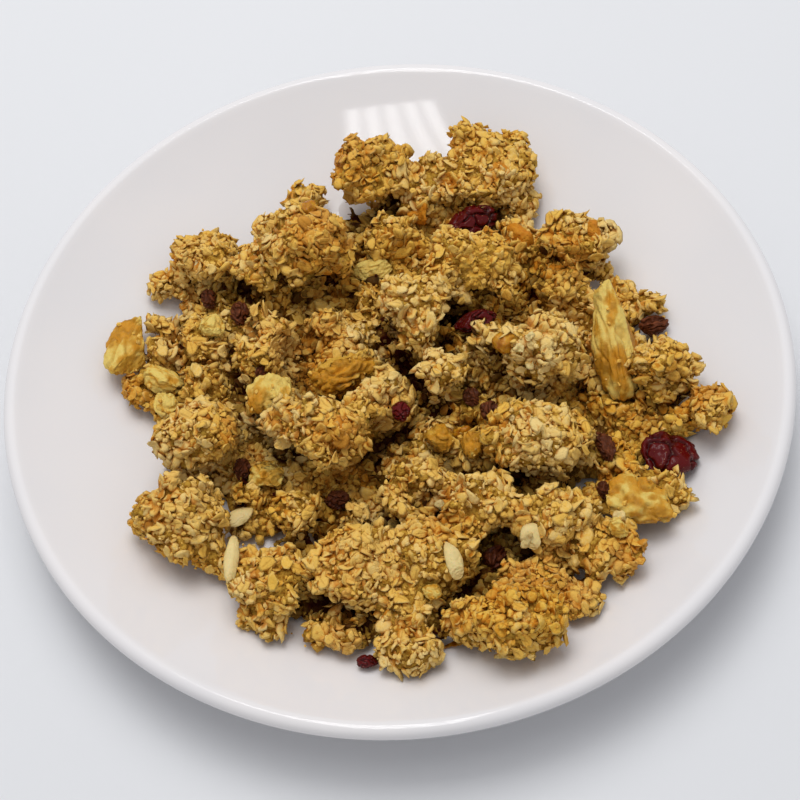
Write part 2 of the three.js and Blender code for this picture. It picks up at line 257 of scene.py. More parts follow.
def joined(name, meshes):
    """One mesh made of several, with their attributes."""
    holders = [bpy.data.objects.new(name, mesh) for mesh in meshes]
    for holder in holders:
        bpy.context.scene.collection.objects.link(holder)
    if len(holders) > 1:
        with bpy.context.temp_override(active_object=holders[0], selected_editable_objects=holders):
            bpy.ops.object.join()
    mesh = holders[0].data
    bpy.data.objects.remove(holders[0])
    return mesh


def points_of(mesh):
    """A mesh's points as rows of x, y and z."""
    flat = np.empty(len(mesh.vertices) * 3, np.float32)
    mesh.vertices.foreach_get("co", flat)
    return flat.reshape(-1, 3).astype(float)


def normals_of(mesh):
    """The way that each point of a mesh faces."""
    flat = np.empty(len(mesh.vertices) * 3, np.float32)
    mesh.vertex_normals.foreach_get("vector", flat)
    return flat.reshape(-1, 3).astype(float)


def set_points(mesh, points):
    """Moves a mesh's points."""
    mesh.vertices.foreach_set("co", np.asarray(points, np.float32).ravel())
    mesh.update()


def set_attribute(mesh, name, values):
    """Marks each point of a mesh with a value, by name."""
    attribute = mesh.attributes.get(name) or mesh.attributes.new(name, "FLOAT", "POINT")
    attribute.data.foreach_set("value", np.asarray(values, np.float32))


def noise_at(points, wavelength, seed, octaves=1):
    """Noise of about -1 to 1 at each point, with waves of the given length."""
    shift = Vector((seed * 3.17, seed * 1.31, seed * 2.29))
    if octaves == 1:
        return np.array([noise.noise(Vector(p) / wavelength + shift) for p in points])
    return np.array([noise.fractal(Vector(p) / wavelength + shift, 0.7, 2.1, octaves) for p in points])


def smoothstep(low, high, values):
    """Runs from 0 at the low value to 1 at the high one, level at both ends."""
    t = np.clip((np.asarray(values) - low) / (high - low), 0, 1)
    return t * t * (3 - 2 * t)


def tree_of(*meshes):
    """One search tree over the faces of several meshes."""
    points, faces = [], []
    for mesh in meshes:
        start = len(points)
        points.extend(v.co.copy() for v in mesh.vertices)
        faces.extend([start + i for i in face.vertices] for face in mesh.polygons)
    return BVHTree.FromPolygons(points, faces)


# ---------------------------------------------------------------- the dish

def wall_at(plate, radius):
    """Middle height, half thickness and slope of the dish's wall at a radius."""
    run = plate.rim_radius - plate.lip / 2 - plate.well_radius
    rise = plate.rim_height - plate.lip / 2 - plate.foot_height - plate.wall / 2
    out = np.maximum(np.asarray(radius, float) - plate.well_radius, 0) / run
    middle = plate.foot_height + plate.wall / 2 + rise * out * out
    half = plate.wall / 2 + (plate.lip - plate.wall) / 2 * out
    return middle, half, 2 * rise * out / run


def dish_top(plate, radius):
    """Height of the dish's upper face at a radius."""
    middle, half, slope = wall_at(plate, radius)
    return middle + half * np.sqrt(1 + slope * slope)


def dish_profile(plate):
    """Radius and height of points round half of the dish's section, from its top to its underside."""
    wall_steps, lip_steps, foot_steps = 44, 14, 6
    end = plate.rim_radius - plate.lip / 2
    radii = plate.well_radius + (end - plate.well_radius) * np.linspace(0, 1, wall_steps + 1)
    middle, half, slope = wall_at(plate, radii)
    lean = np.arctan(slope)
    upper = list(zip(radii - half * np.sin(lean), middle + half * np.cos(lean)))
    lower = list(zip(radii + half * np.sin(lean), middle - half * np.cos(lean)))
    turn = np.linspace(lean[-1] + math.pi / 2, lean[-1] - math.pi / 2, lip_steps + 1)[1:-1]
    lip = [(end + plate.lip / 2 * math.cos(a), middle[-1] + plate.lip / 2 * math.sin(a)) for a in turn]
    inner = plate.foot_radius - plate.foot_width / 2
    outer = plate.foot_radius + plate.foot_width / 2
    under = [p for p in reversed(lower) if p[0] > outer + 0.6 * MM]
    base = float(np.interp(outer, [p[0] for p in lower], [p[1] for p in lower]))
    edge = 0.8 * MM
    foot = [(outer + edge / 2, base), (outer, base - edge / 2)]
    for centre, start in ((outer - edge, 0), (inner + edge, 90)):
        for step in range(foot_steps + 1):
            angle = math.radians(start + 90 * step / foot_steps)
            foot.append((centre + edge * math.cos(angle), edge - edge * math.sin(angle)))
    foot += [(inner, plate.foot_height - edge / 2), (inner - edge / 2, plate.foot_height)]
    well = [(r, plate.wall + plate.foot_height) for r in np.linspace(0, plate.well_radius, 12)[:-1]]
    floor = [(r, plate.foot_height) for r in np.linspace(inner - 2 * edge, 0, 8)]
    return well + upper + lip + under + foot + floor


def lathe(name, profile, sides):
    """A closed turned shape from a profile that starts and ends on the axis."""
    points = [(0.0, 0.0, profile[0][1])]
    rings = profile[1:-1]
    for radius, height in rings:
        for side in range(sides):
            angle = 2 * math.pi * side / sides
            points.append((radius * math.cos(angle), radius * math.sin(angle), height))
    points.append((0.0, 0.0, profile[-1][1]))
    faces = []
    for side in range(sides):
        after = (side + 1) % sides
        faces.append((0, 1 + side, 1 + after))
        for ring in range(len(rings) - 1):
            here, there = 1 + ring * sides, 1 + (ring + 1) * sides
            faces.append((here + side, there + side, there + after, here + after))
        last = 1 + (len(rings) - 1) * sides
        faces.append((last + side, len(points) - 1, last + after))
    mesh = bpy.data.meshes.new(name)
    mesh.from_pydata(points, [], faces)
    return mesh


class GRANOLA_OT_dish(bpy.types.Operator):
    """Turn the glazed dish on its foot ring."""

    bl_idname = "granola.dish"
    bl_label = "Dish"

    def execute(self, context):
        plate = context.scene.granola_plate
        mesh = lathe("coupe_dish", dish_profile(plate), plate.sides)
        mesh.materials.append(glazed_ceramic(plate))
        finished("coupe_dish", mesh, replaces=["plate"])
        return {"FINISHED"}


# ---------------------------------------------------------------- the granola's core

# How far round a point its cluster's mean height is taken, and how much of the heap stays under a hollow.
CLUSTER_REACH = 7.5 * MM
KEPT_UNDER = 6 * MM
# The columns in which the heap's height is read.
COLUMN = 1.5 * MM
NUGGET_SHAPES = 6

# Places on the heap that were baked darker, and paler ones: [x, y, radius] in millimetres.
TOASTED_SPOTS = [
    (-19, 46, 12),
    (-33, 60, 8),
    (-6, 84, 12),
    (-28, 14, 14),
    (29, -82, 16),
    (44, -88, 12),
    (63, -80, 9),
    (6, -62, 9),
    (-20, -32, 9),
    (62, 30, 8),
    (40, 42, 9),
    (-95, 8, 12),
    (-52, -22, 8),
    (-28, -93, 10),
    (98, -30, 9),
]
PALE_SPOTS = [
    (-66, 50, 10),
    (-40, 16, 12),
    (-74, -44, 13),
    (47, -2, 14),
    (-14, -52, 12),
    (72, -2, 10),
    (-22, -74, 14),
    (-6, -12, 10),
    (40, -40, 10),
]


# Deep gaps between clusters: [x, y, radius, depth] in millimetres.
HOLLOWS = [
    (-30, 34, 9, 9),
    (-31, 5, 9, 9),
    (28, 15, 11, 10),
    (2, 1, 7, 8),
    (-2, -22, 9, 10),
    (25, -18, 11, 10),
    (-23, -40, 9, 9),
    (3, -53, 10, 9),
    (-61, -34, 6, 7),
    (60, -31, 9, 9),
    (84, -26, 7, 6),
    (-13, 33, 7, 7),
    (18, 58, 8, 8),
    (63, 14, 7, 7),
    (-48, -2, 7, 7),
    (-39, -39, 6, 7),
]


def spots_at(points, spots):
    """How far inside the nearest spot each point is, from 0 outside to 1 in its middle."""
    found = np.zeros(len(points))
    for x, y, radius in spots:
        away = np.hypot(points[:, 0] - x * MM, points[:, 1] - y * MM) / (radius * MM)
        found = np.maximum(found, 1 - smoothstep(0.45, 1.15, away))
    return found


def openness_at(points, normals, tree, count=14, clearance=0.4 * MM, reach=24 * MM):
    """The share of the sky that each point sees, from 0 deep in a crevice to 1 on a top."""
    draw = random.Random(3)
    rays = []
    for _ in range(count):
        ray = Vector((draw.gauss(0, 1), draw.gauss(0, 1), draw.gauss(0, 1) + 0.8))
        rays.append(ray.normalized())
    seen = np.empty(len(points))
    for i, (point, normal) in enumerate(zip(points, normals)):
        normal = Vector(normal)
        start = Vector(point) + normal * clearance
        facing = [ray for ray in rays if ray.dot(normal) > 0.12]
        free = sum(tree.ray_cast(start, ray, reach)[0] is None for ray in facing)
        seen[i] = free / max(len(facing), 1) if facing else 0.0
    return seen


def walls_at(points, size, seed):
    """How near each point is to the wall between two cells of a size, from 0 in a cell to 1 on the wall."""
    shift = Vector((seed * 1.7, seed * 2.3, seed * 0.9))
    gaps = np.empty(len(points))
    for i, point in enumerate(points):
        distances = noise.voronoi(Vector(point) / size + shift)[0]
        gaps[i] = distances[1] - distances[0]
    return 1 - smoothstep(0.0, 0.4, gaps)


def kept_in_dish(points, plate, clearance):
    """The points, lifted where they would lie in the dish and lowered where they would rise over the heap."""
    floor = dish_top(plate, np.hypot(points[:, 0], points[:, 1])) + clearance
    points[:, 2] = np.minimum(np.maximum(points[:, 2], floor), CAD_HIGH.z - 0.1 * MM)
    return points


def baked_height(mesh, plate):
    """How far each point of a mesh is above the dish."""
    points = points_of(mesh)
    return points[:, 2] - dish_top(plate, np.hypot(points[:, 0], points[:, 1]))


def distance_to_toppings(points, reach):
    """Each point's distance to the nearest topping, up to a reach."""
    dressing = tree_of(*(frame["nodes"][n].data for n in toppings()))
    return np.array([(dressing.find_nearest(Vector(p), reach)[3] or reach) for p in points])


def nugget_mesh(name, size, draw):
    """A nugget of packed oats: a knobbly lump, a little flat."""
    work = bmesh.new()
    bmesh.ops.create_icosphere(work, subdivisions=2, radius=size / 2)
    stretch = Vector((draw.uniform(0.85, 1.2), draw.uniform(0.75, 1.0), draw.uniform(0.65, 0.9)))
    shift = Vector((draw.uniform(0, 50), 0, 0))
    for vertex in work.verts:
        knobs = 1 + 0.28 * noise.noise(vertex.co.normalized() * 1.9 + shift)
        vertex.co = Vector(a * b for a, b in zip(vertex.co * knobs, stretch))
    mesh = bpy.data.meshes.new(name)
    work.to_mesh(mesh)
    work.free()
    return mesh


def hollow_depth(points, plate, reach):
    """How far each point lies under the heap's mean height round it."""
    cells = int(CAD_HIGH.x / COLUMN) + 1
    column = tuple(np.clip(np.round(points[:, :2] / COLUMN).astype(int) + cells, 0, 2 * cells).T)
    spread = (np.arange(2 * cells + 1) - cells) * COLUMN
    radius = np.hypot(*np.meshgrid(spread, spread, indexing="ij"))
    tops = dish_top(plate, np.minimum(radius, plate.rim_radius - plate.lip / 2))
    np.maximum.at(tops, column, points[:, 2])
    kernel = np.exp(-0.5 * (np.arange(-15, 16) * COLUMN / reach) ** 2)
    for axis in (0, 1):
        tops = np.apply_along_axis(np.convolve, axis, tops, kernel / kernel.sum(), "same")
    return tops[column] - points[:, 2]


def packed_from_nuggets(granola, plate):
    """The heap's own solid, with its hollows drawn down and nuggets packed on it."""
    base = with_modifiers(
        merged_copy(HEAP),
        ("REMESH", {"mode": "VOXEL", "voxel_size": granola.grid * 1.1}),
        ("SMOOTH", {"factor": 0.5, "iterations": 2}),
    )
    points, normals = points_of(base), normals_of(base)
    deep = np.clip(2.0 * hollow_depth(points, plate, CLUSTER_REACH), 0, granola.hollow)
    for x, y, radius, depth in HOLLOWS:
        away = np.hypot(points[:, 0] - x * MM, points[:, 1] - y * MM) / (radius * MM)
        deep += depth * MM * (1 - smoothstep(0.25, 1.0, away))
    above = baked_height(base, plate)
    near = distance_to_toppings(points, 6 * MM)
    share = smoothstep(5 * MM, 13 * MM, above) * smoothstep(-0.1, 0.4, normals[:, 2])
    deep *= share * smoothstep(0, 5 * MM, near)
    deep = np.minimum(deep, np.maximum(above - KEPT_UNDER, 0))
    points -= normals * granola.inset * 1.6
    points[:, 2] -= deep
    set_points(base, points)
    size = granola.nugget
    clear = smoothstep(0.30 * size, 0.5 * size, distance_to_toppings(points, size))
    clear *= smoothstep(1.5 * MM, 4 * MM, above) * smoothstep(-0.2, 0.3, normals[:, 2])
    set_attribute(base, "cover", clear)
    set_attribute(base, "anywhere", np.ones(len(points)))
    draw = random.Random(granola.seed + 30)
    shapes = shape_collection(
        "nugget_shapes", [nugget_mesh(f"nugget_{i}", size, draw) for i in range(NUGGET_SHAPES)]
    )
    nuggets = scatter_tree().apply(
        base, Pieces=shapes, Gap=0.62 * size, Most=60000.0, Kind="anywhere", Lean=0.9, Lift=0.14 * size,
        Small=0.5, Large=1.15, Seed=granola.seed * 10 + 20, Finish=packed_oats(granola),
    )
    discard(shapes)
    return joined("packed_oats", [base, nuggets])


def granola_core(granola, plate):
    """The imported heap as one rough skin, marked with what grows on each part of it."""
    mesh = with_modifiers(
        packed_from_nuggets(granola, plate),
        ("REMESH", {"mode": "VOXEL", "voxel_size": granola.grid}),
        ("SMOOTH", {"factor": 0.5, "iterations": 1}),
    )
    mesh.materials.clear()
    points, normals = points_of(mesh), normals_of(mesh)
    waves = noise_at(points, 7 * MM, granola.seed, 3) * granola.relief
    pits = walls_at(points, granola.flake_length * 0.8, granola.seed + 1) * granola.pit
    points += normals * (waves - pits)[:, None]
    set_points(mesh, kept_in_dish(points, plate, 0.1 * MM))
    points, normals = points_of(mesh), normals_of(mesh)
    seen = openness_at(points, normals, tree_of(mesh))

    near = distance_to_toppings(points, 6 * MM)
    above = baked_height(mesh, plate)
    cover = smoothstep(-0.75, -0.35, normals[:, 2]) * smoothstep(0.2 * MM, 1.2 * MM, above)
    cover = cover * smoothstep(0.3 * MM, 2.0 * MM, near) * (0.35 + 0.65 * smoothstep(0, 0.3, seen))
    patches = noise_at(points, 22 * MM, granola.seed + 2, 2)
    toast = np.clip(0.36 + 0.5 * patches + 0.6 * spots_at(points, TOASTED_SPOTS), 0, 1)
    pale = np.clip(0.34 - 0.5 * patches + 0.5 * spots_at(points, PALE_SPOTS), 0, 1)
    pale *= smoothstep(0.1, 0.5, seen)
    # seen is how much sky each point sees; besides the flake cover it drives the painted shade deep in the
    # heap.
    set_attribute(mesh, "seen", seen)
    set_attribute(mesh, "cover", cover)
    set_attribute(mesh, "toast", toast)
    set_attribute(mesh, "pale", pale)
    return mesh


class GRANOLA_OT_core(bpy.types.Operator):
    """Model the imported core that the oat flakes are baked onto."""

    bl_idname = "granola.core"
    bl_label = "Core"

    def execute(self, context):
        granola = context.scene.granola_oats
        mesh = granola_core(granola, context.scene.granola_plate)
        mesh.materials.append(packed_oats(granola))
        count_faces(CORE, mesh)
        finished(CORE, mesh, replaces=[HEAP])
        return {"FINISHED"}


# ---------------------------------------------------------------- flakes and crumbs

FLAKE_SIDES = 9
SHAPES_OF_A_KIND = 8


def flake_mesh(name, size, thickness, draw):
    """An oat flake: a cupped oval with an uneven edge; its place along and across runs from -1 to 1."""
    cup = thickness * draw.uniform(-0.7, 0.8)
    twist = thickness * draw.uniform(-0.7, 0.7)
    edge = [1 + draw.uniform(-0.3, 0.18) for _ in range(FLAKE_SIDES)]
    rings = ((1.0, 0.0), (0.66, 0.5))
    points, spots = [], []

    def add(u, v, lift):
        bend = cup * (u * u + v * v) + twist * u * v * 2
        points.append((u * size[0] / 2, v * size[1] / 2, bend + lift * thickness))
        spots.append((u, v))

    for reach, lift in rings:
        for side in range(FLAKE_SIDES):
            angle = 2 * math.pi * side / FLAKE_SIDES
            radius = reach * edge[side]
            add(radius * math.cos(angle), radius * math.sin(angle), lift + draw.uniform(-0.22, 0.22))
    add(0, 0, 0.5)
    add(0, 0, -0.5)
    top, bottom = 2 * FLAKE_SIDES, 2 * FLAKE_SIDES + 1
    faces = []
    for side in range(FLAKE_SIDES):
        after = (side + 1) % FLAKE_SIDES
        inner, inner_after = FLAKE_SIDES + side, FLAKE_SIDES + after
        faces += [(side, after, inner_after, inner), (inner, inner_after, top), (after, side, bottom)]
    mesh = bpy.data.meshes.new(name)
    mesh.from_pydata(points, [], faces)
    mesh.shade_smooth()
    for axis, label in enumerate(("along", "across")):
        set_attribute(mesh, label, [spot[axis] for spot in spots])
    return mesh


def crumb_mesh(name, size, draw):
    """A crumb: a small knobbly lump of twenty faces."""
    work = bmesh.new()
    bmesh.ops.create_icosphere(work, subdivisions=1, radius=size / 2)
    for vertex in work.verts:
        vertex.co *= draw.uniform(0.7, 1.25)
        vertex.co.z *= draw.uniform(0.6, 0.95)
    mesh = bpy.data.meshes.new(name)
    work.to_mesh(mesh)
    work.free()
    for label in ("along", "across"):
        set_attribute(mesh, label, [0.5] * len(mesh.vertices))
    return mesh


class NodeTree:
    """A Geometry Nodes tree under construction."""

    def __init__(self, name):
        self.tree = bpy.data.node_groups.new(name, "GeometryNodeTree")
        self.tree.is_modifier = True
        self.tree.interface.new_socket("Geometry", in_out="INPUT", socket_type="NodeSocketGeometry")
        self.tree.interface.new_socket("Geometry", in_out="OUTPUT", socket_type="NodeSocketGeometry")
        self.start = self.tree.nodes.new("NodeGroupInput")
        self.end = self.tree.nodes.new("NodeGroupOutput")

    def setting(self, name, kind, description):
        """A named input of the tree."""
        self.tree.interface.new_socket(
            name, in_out="INPUT", socket_type="NodeSocket" + kind, description=description
        )
        return self.start.outputs[name]

    def add(self, kind, settings=None, **inputs):
        """A node with its own settings, and values or links for its inputs, by name."""
        node = self.tree.nodes.new(kind)
        for key, value in (settings or {}).items():
            setattr(node, key, value)
        for key, value in inputs.items():
            socket = self.socket(node, key.replace("_", " ").title())
            if isinstance(value, bpy.types.NodeSocket):
                self.tree.links.new(value, socket)
            else:
                socket.default_value = value
        return node

    @staticmethod
    def socket(node, name):
        """The enabled input of that name."""
        return next(s for s in node.inputs if s.name == name and s.enabled)

    def apply(self, mesh, **values):
        """The tree's result on a copy of the mesh, as a plain mesh."""
        holder = bpy.data.objects.new("scatter", mesh.copy())
        bpy.context.scene.collection.objects.link(holder)
        modifier = holder.modifiers.new("scatter", "NODES")
        modifier.node_group = self.tree
        names = {i.name: i.identifier for i in self.tree.interface.items_tree if i.in_out == "INPUT"}
        for name, value in values.items():
            modifier[names[name.replace("_", " ").capitalize()]] = value
        return plain_mesh(holder)


def scatter_tree():
    """Scatters a collection's pieces over a mesh where its cover attribute lets them, and makes them real."""
    build = NodeTree("Scatter baked oats")
    pieces = build.setting("Pieces", "Collection", "The shapes to pick from")
    gap = build.setting("Gap", "Float", "Least distance between two middles")
    most = build.setting("Most", "Float", "Pieces per square metre where the cover is full")
    kind = build.setting("Kind", "String", "Attribute that says where this kind lies")
    lean = build.setting("Lean", "Float", "Most that a piece leans, in radians")
    lift = build.setting("Lift", "Float", "Most that a piece stands off the surface")
    small = build.setting("Small", "Float", "Scale of the smallest piece")
    large = build.setting("Large", "Float", "Scale of the largest piece")
    seed = build.setting("Seed", "Int", "Seed of the random draws")
    finish = build.setting("Finish", "Material", "Material of the pieces")

    def drawn(data_type, low, high, shift):
        other = build.add("ShaderNodeMath", {"operation": "ADD"})
        build.tree.links.new(seed, other.inputs[0])
        other.inputs[1].default_value = shift
        node = build.add(
            "FunctionNodeRandomValue", {"data_type": data_type}, min=low, max=high, seed=other.outputs[0]
        )
        return next(s for s in node.outputs if s.enabled)

    def product(first, second):
        node = build.add("ShaderNodeMath", {"operation": "MULTIPLY"})
        build.tree.links.new(first, node.inputs[0])
        build.tree.links.new(second, node.inputs[1])
        return node.outputs[0]

    cover = build.add("GeometryNodeInputNamedAttribute", {"data_type": "FLOAT"}, name="cover")
    where = build.add("GeometryNodeInputNamedAttribute", {"data_type": "FLOAT"}, name=kind)
    spread = build.add(
        "GeometryNodeDistributePointsOnFaces", {"distribute_method": "POISSON"},
        mesh=build.start.outputs["Geometry"], distance_min=gap, density_max=most,
        density_factor=product(cover.outputs["Attribute"], where.outputs["Attribute"]), seed=seed,
    )
    offset = build.add("ShaderNodeVectorMath", {"operation": "SCALE"})
    build.tree.links.new(spread.outputs["Normal"], offset.inputs[0])
    build.tree.links.new(product(drawn("FLOAT", -0.6, 1.0, 11), lift), offset.inputs["Scale"])
    placed = build.add(
        "GeometryNodeSetPosition", geometry=spread.outputs["Points"], offset=offset.outputs["Vector"]
    )
    sway = build.add("ShaderNodeVectorMath", {"operation": "SCALE"})
    build.tree.links.new(drawn("FLOAT_VECTOR", (-1, -1, 0), (1, 1, 0), 23), sway.inputs[0])
    build.tree.links.new(lean, sway.inputs["Scale"])
    spin = drawn("FLOAT_VECTOR", (0, 0, 0), (0, 0, 2 * math.pi), 37)
    leaning = build.add("FunctionNodeEulerToRotation", euler=sway.outputs["Vector"])
    spinning = build.add("FunctionNodeEulerToRotation", euler=spin)
    turned = build.add(
        "FunctionNodeRotateRotation", {"rotation_space": "LOCAL"},
        rotation=spread.outputs["Rotation"], rotate_by=leaning.outputs["Rotation"],
    )
    spun = build.add(
        "FunctionNodeRotateRotation", {"rotation_space": "LOCAL"},
        rotation=turned.outputs["Rotation"], rotate_by=spinning.outputs["Rotation"],
    )
    shapes = build.add(
        "GeometryNodeCollectionInfo", collection=pieces, separate_children=True, reset_children=True
    )
    copies = build.add(
        "GeometryNodeInstanceOnPoints", points=placed.outputs["Geometry"],
        instance=shapes.outputs["Instances"], pick_instance=True, instance_index=drawn("INT", 0, 99, 41),
        rotation=spun.outputs["Rotation"], scale=drawn("FLOAT", small, large, 53),
    )
    tinted = build.add(
        "GeometryNodeStoreNamedAttribute", {"data_type": "FLOAT", "domain": "INSTANCE"},
        geometry=copies.outputs["Instances"], name="tint", value=drawn("FLOAT", 0.0, 1.0, 67),
    )
    real = build.add("GeometryNodeRealizeInstances", geometry=tinted.outputs["Geometry"])
    coated = build.add("GeometryNodeSetMaterial", geometry=real.outputs["Geometry"], material=finish)
    build.tree.links.new(coated.outputs["Geometry"], build.end.inputs["Geometry"])
    return build


def shape_collection(name, meshes):
    """A collection of shapes to scatter, kept out of the picture."""
    collection = bpy.data.collections.new(name)
    for mesh in meshes:
        collection.objects.link(bpy.data.objects.new(mesh.name, mesh))
    return collection


def discard(collection):
    """Removes a collection and its shapes once they are scattered."""
    for shape in list(collection.objects):
        bpy.data.objects.remove(shape)
    bpy.data.collections.remove(collection)


def seated(mesh, plate):
    """Moves each loose piece of a scattered mesh up out of the dish or down under the heap's top."""
    points = points_of(mesh)
    parents = np.arange(len(points))
    edges = np.empty(len(mesh.edges) * 2, np.int64)
    mesh.edges.foreach_get("vertices", edges)
    edges = edges.reshape(-1, 2)
    while True:
        low = np.minimum(parents[edges[:, 0]], parents[edges[:, 1]])
        before = parents.copy()
        np.minimum.at(parents, edges[:, 0], low)
        np.minimum.at(parents, edges[:, 1], low)
        if (before == parents).all():
            break
    need = dish_top(plate, np.hypot(points[:, 0], points[:, 1])) + 0.05 * MM - points[:, 2]
    rise = np.zeros(len(points))
    np.maximum.at(rise, parents, need)
    drop = np.zeros(len(points))
    np.maximum.at(drop, parents, points[:, 2] - (CAD_HIGH.z - 0.05 * MM))
    points[:, 2] += rise[parents] - drop[parents]
    set_points(mesh, points)


# The kinds of flakes: the core's attribute that says where each lies, and its scale.
FLAKE_KINDS = {
    "oat_flakes_pale": ("pale", 1.0),
    "oat_flakes_golden": ("golden", 0.98),
    "oat_flakes_toasted": ("toast", 0.94),
}


class GRANOLA_OT_flakes(bpy.types.Operator):
    """Bake pale, golden and toasted oat flakes onto the core."""

    bl_idname = "granola.flakes"
    bl_label = "Oat flakes"

    def execute(self, context):
        granola = context.scene.granola_oats
        core = bpy.data.objects[CORE].data
        set_attribute(core, "golden", np.full(len(core.vertices), 0.44))
        finish = oat_flake(granola)
        tree = scatter_tree()
        size = (granola.flake_length, granola.flake_width)
        baked = {}
        for number, (name, (attribute, scale)) in enumerate(FLAKE_KINDS.items()):
            draw = random.Random(granola.seed + number)
            shapes = shape_collection(name + "_shapes", [
                flake_mesh(f"{name}_{i}", [s * scale * draw.uniform(0.8, 1.15) for s in size],
                           granola.flake_thickness * draw.uniform(0.8, 1.2), draw)
                for i in range(SHAPES_OF_A_KIND)
            ])
            baked[name] = tree.apply(
                core, Pieces=shapes, Gap=granola.flake_gap, Most=400000.0, Kind=attribute,
                Lean=granola.flake_lean, Lift=1.0 * MM, Small=0.45, Large=1.35,
                Seed=granola.seed * 10 + number, Finish=finish,
            )
            discard(shapes)
            seated(baked[name], context.scene.granola_plate)
        around = tree_of(core, *baked.values())
        for name, mesh in baked.items():
            count_faces(name, mesh)
            # How much sky each flake sees close by, for the painted shade between the flakes.
            open_air = openness_at(points_of(mesh), normals_of(mesh), around, 6, 0.25 * MM, 5 * MM)
            set_attribute(mesh, "free", open_air)
            finished(name, mesh, replaces=[HEAP])
        return {"FINISHED"}


# The share of each kind of topping that crumbs stick to, and of the walnut chunk baked into the heap.
CRUMBS_ON = {"walnut": 0.5, "cranberry": 0.3, "raisin": 0.3, "almond": 0.25, "seed": 0.1}
CRUMBS_ON_CHUNK = 0.9


def crumbed_surface(core, seed):
    """The core and the toppings as one mesh, marked with where crumbs stick."""
    surfaces = [core.copy()]
    for number, name in enumerate([*(node + "_piece" for node in toppings()), "walnut_chips"]):
        mesh = bpy.data.objects[name].data.copy()
        points, normals = points_of(mesh), normals_of(mesh)
        share = CRUMBS_ON_CHUNK if name == "walnut_chips" else CRUMBS_ON[name.split("_")[0]]
        patches = noise_at(points, 4 * MM, seed + number, 2)
        stuck = smoothstep(0.35 - share, 0.75 - share, patches) * smoothstep(-0.3, 0.2, normals[:, 2])
        set_attribute(mesh, "cover", stuck * share * 1.2)
        # Crumbs on the toppings take fixed marks, which set their tone and their painted shade.
        for label, value in (("seen", 0.9), ("toast", 0.45), ("pale", 0.3), ("free", 0.8)):
            set_attribute(mesh, label, np.full(len(points), value))
        surfaces.append(mesh)
    return joined("crumbed_surface", surfaces)


class GRANOLA_OT_crumbs(bpy.types.Operator):
    """Stick crumbs of baked oat between the flakes and on the toppings."""

    bl_idname = "granola.crumbs"
    bl_label = "Crumbs"

    def execute(self, context):
        granola = context.scene.granola_oats
        core = bpy.data.objects[CORE].data
        # Crumbs on the core take a fixed share of the painted shade between flakes.
        set_attribute(core, "free", np.full(len(core.vertices), 0.75))
        draw = random.Random(granola.seed + 20)
        shapes = shape_collection("crumb_shapes", [
            crumb_mesh(f"crumb_{i}", draw.uniform(1.2, 2.3) * MM, draw) for i in range(SHAPES_OF_A_KIND)
        ])
        mesh = scatter_tree().apply(
            crumbed_surface(core, granola.seed), Pieces=shapes, Gap=granola.crumb_gap, Most=500000.0,
            Kind="cover", Lean=1.5, Lift=1.3 * MM, Small=0.4, Large=1.2, Seed=granola.seed * 10 + 7,
            Finish=oat_flake(granola),
        )
        discard(shapes)
        seated(mesh, context.scene.granola_plate)
        count_faces("oat_crumbs", mesh)
        finished("oat_crumbs", mesh, replaces=[HEAP], smooth=False)
        return {"FINISHED"}


def count_faces(name, mesh):
    """Prints how many triangles a piece has, and stops where it has too many. Stops
    where a piece has more triangles than its export keeps.
    """
    triangles = sum(len(face.vertices) - 2 for face in mesh.polygons)
    print(name, triangles, "triangles")
    if triangles >= MOST_TRIANGLES:
        raise RuntimeError(f"{name} has {triangles} triangles")


# ---------------------------------------------------------------- nuts and fruit

# How each kind of topping, or one piece of it, is shaped: broken faces, stretch along its length, folds to
# its half size, width and depth of a fold as shares, and the depth of its fine grain.
FOLDS = {
    "walnut": (4, 0.6, 1.4, 0.26, 0.15, 0.09),
    "walnut_right_upright": (1, 0.5, 0.9, 0.16, 0.08, 0.05),
    "walnut_right_front": (1, 0.9, 0.9, 0.22, 0.16, 0.12),
    "walnut_centre": (3, 1.0, 2.2, 0.30, 0.16, 0.20),
    "cranberry": (1, 0.7, 2.0, 0.24, 0.20, 0.05),
    "raisin": (2, 0.6, 2.2, 0.34, 0.26, 0.07),
    "almond": (3, 0.6, 0.7, 0.10, 0.05, 0.04),
    "seed": (0, 0.6, 0.7, 0.10, 0.04, 0.02),
}
# The least faces of a modelled topping.
DRESSED_FACES = 3600


def broken(away, breaks, draw):
    """Points about a middle, broken off along flat faces, and how far each lies on such a face."""
    bare = np.zeros(len(away))
    for _ in range(breaks):
        facing = np.array([draw.gauss(0, 1), draw.gauss(0, 1), draw.gauss(0, 0.8)])
        facing /= np.linalg.norm(facing)
        depth = away @ facing
        over = depth - depth.max() * draw.uniform(0.6, 0.82)
        bare = np.maximum(bare, smoothstep(0.0, 0.6 * MM, over))
        away = away - np.outer(np.maximum(over, 0) * 0.8, facing)
    return away, bare


# How much more toasted than the others some walnut pieces are, or less.
TOASTED_MORE = {
    "walnut_centre": 0.5,
    "walnut_centre_block": 0.7,
    "walnut_near_top": 0.6,
    "walnut_left_rim": 0.1,
    "walnut_right_upright": 0.0,
    "walnut_right_front": 0.1,
    "walnut_left_long": -0.3,
    "walnut_back_chip": -0.6,
    "walnut_left_chip": -0.6,
    "walnut_left_small": -0.3,
}
# How much narrower the far end of some pieces is.
TAPERED = {"walnut_right_upright": 0.25, "walnut_centre": 0.3, "walnut_right_front": 0.1}
# Ridges that fan out over the near half of a piece: how many to a radian, and how deep.
FANNED = {"walnut_right_upright": (11, 0.7 * MM)}


def tapered(away, share):
    """Points about a middle, drawn in toward the end of the form that lies furthest back."""
    axis = np.linalg.eigh(np.cov(away.T))[1][:, -1]
    axis = axis * math.copysign(1, axis[1])
    along = away @ axis
    across = away - np.outer(along, axis)
    narrow = share * smoothstep(-0.5, 0.95, along / np.abs(along).max())
    return away - across * narrow[:, None]


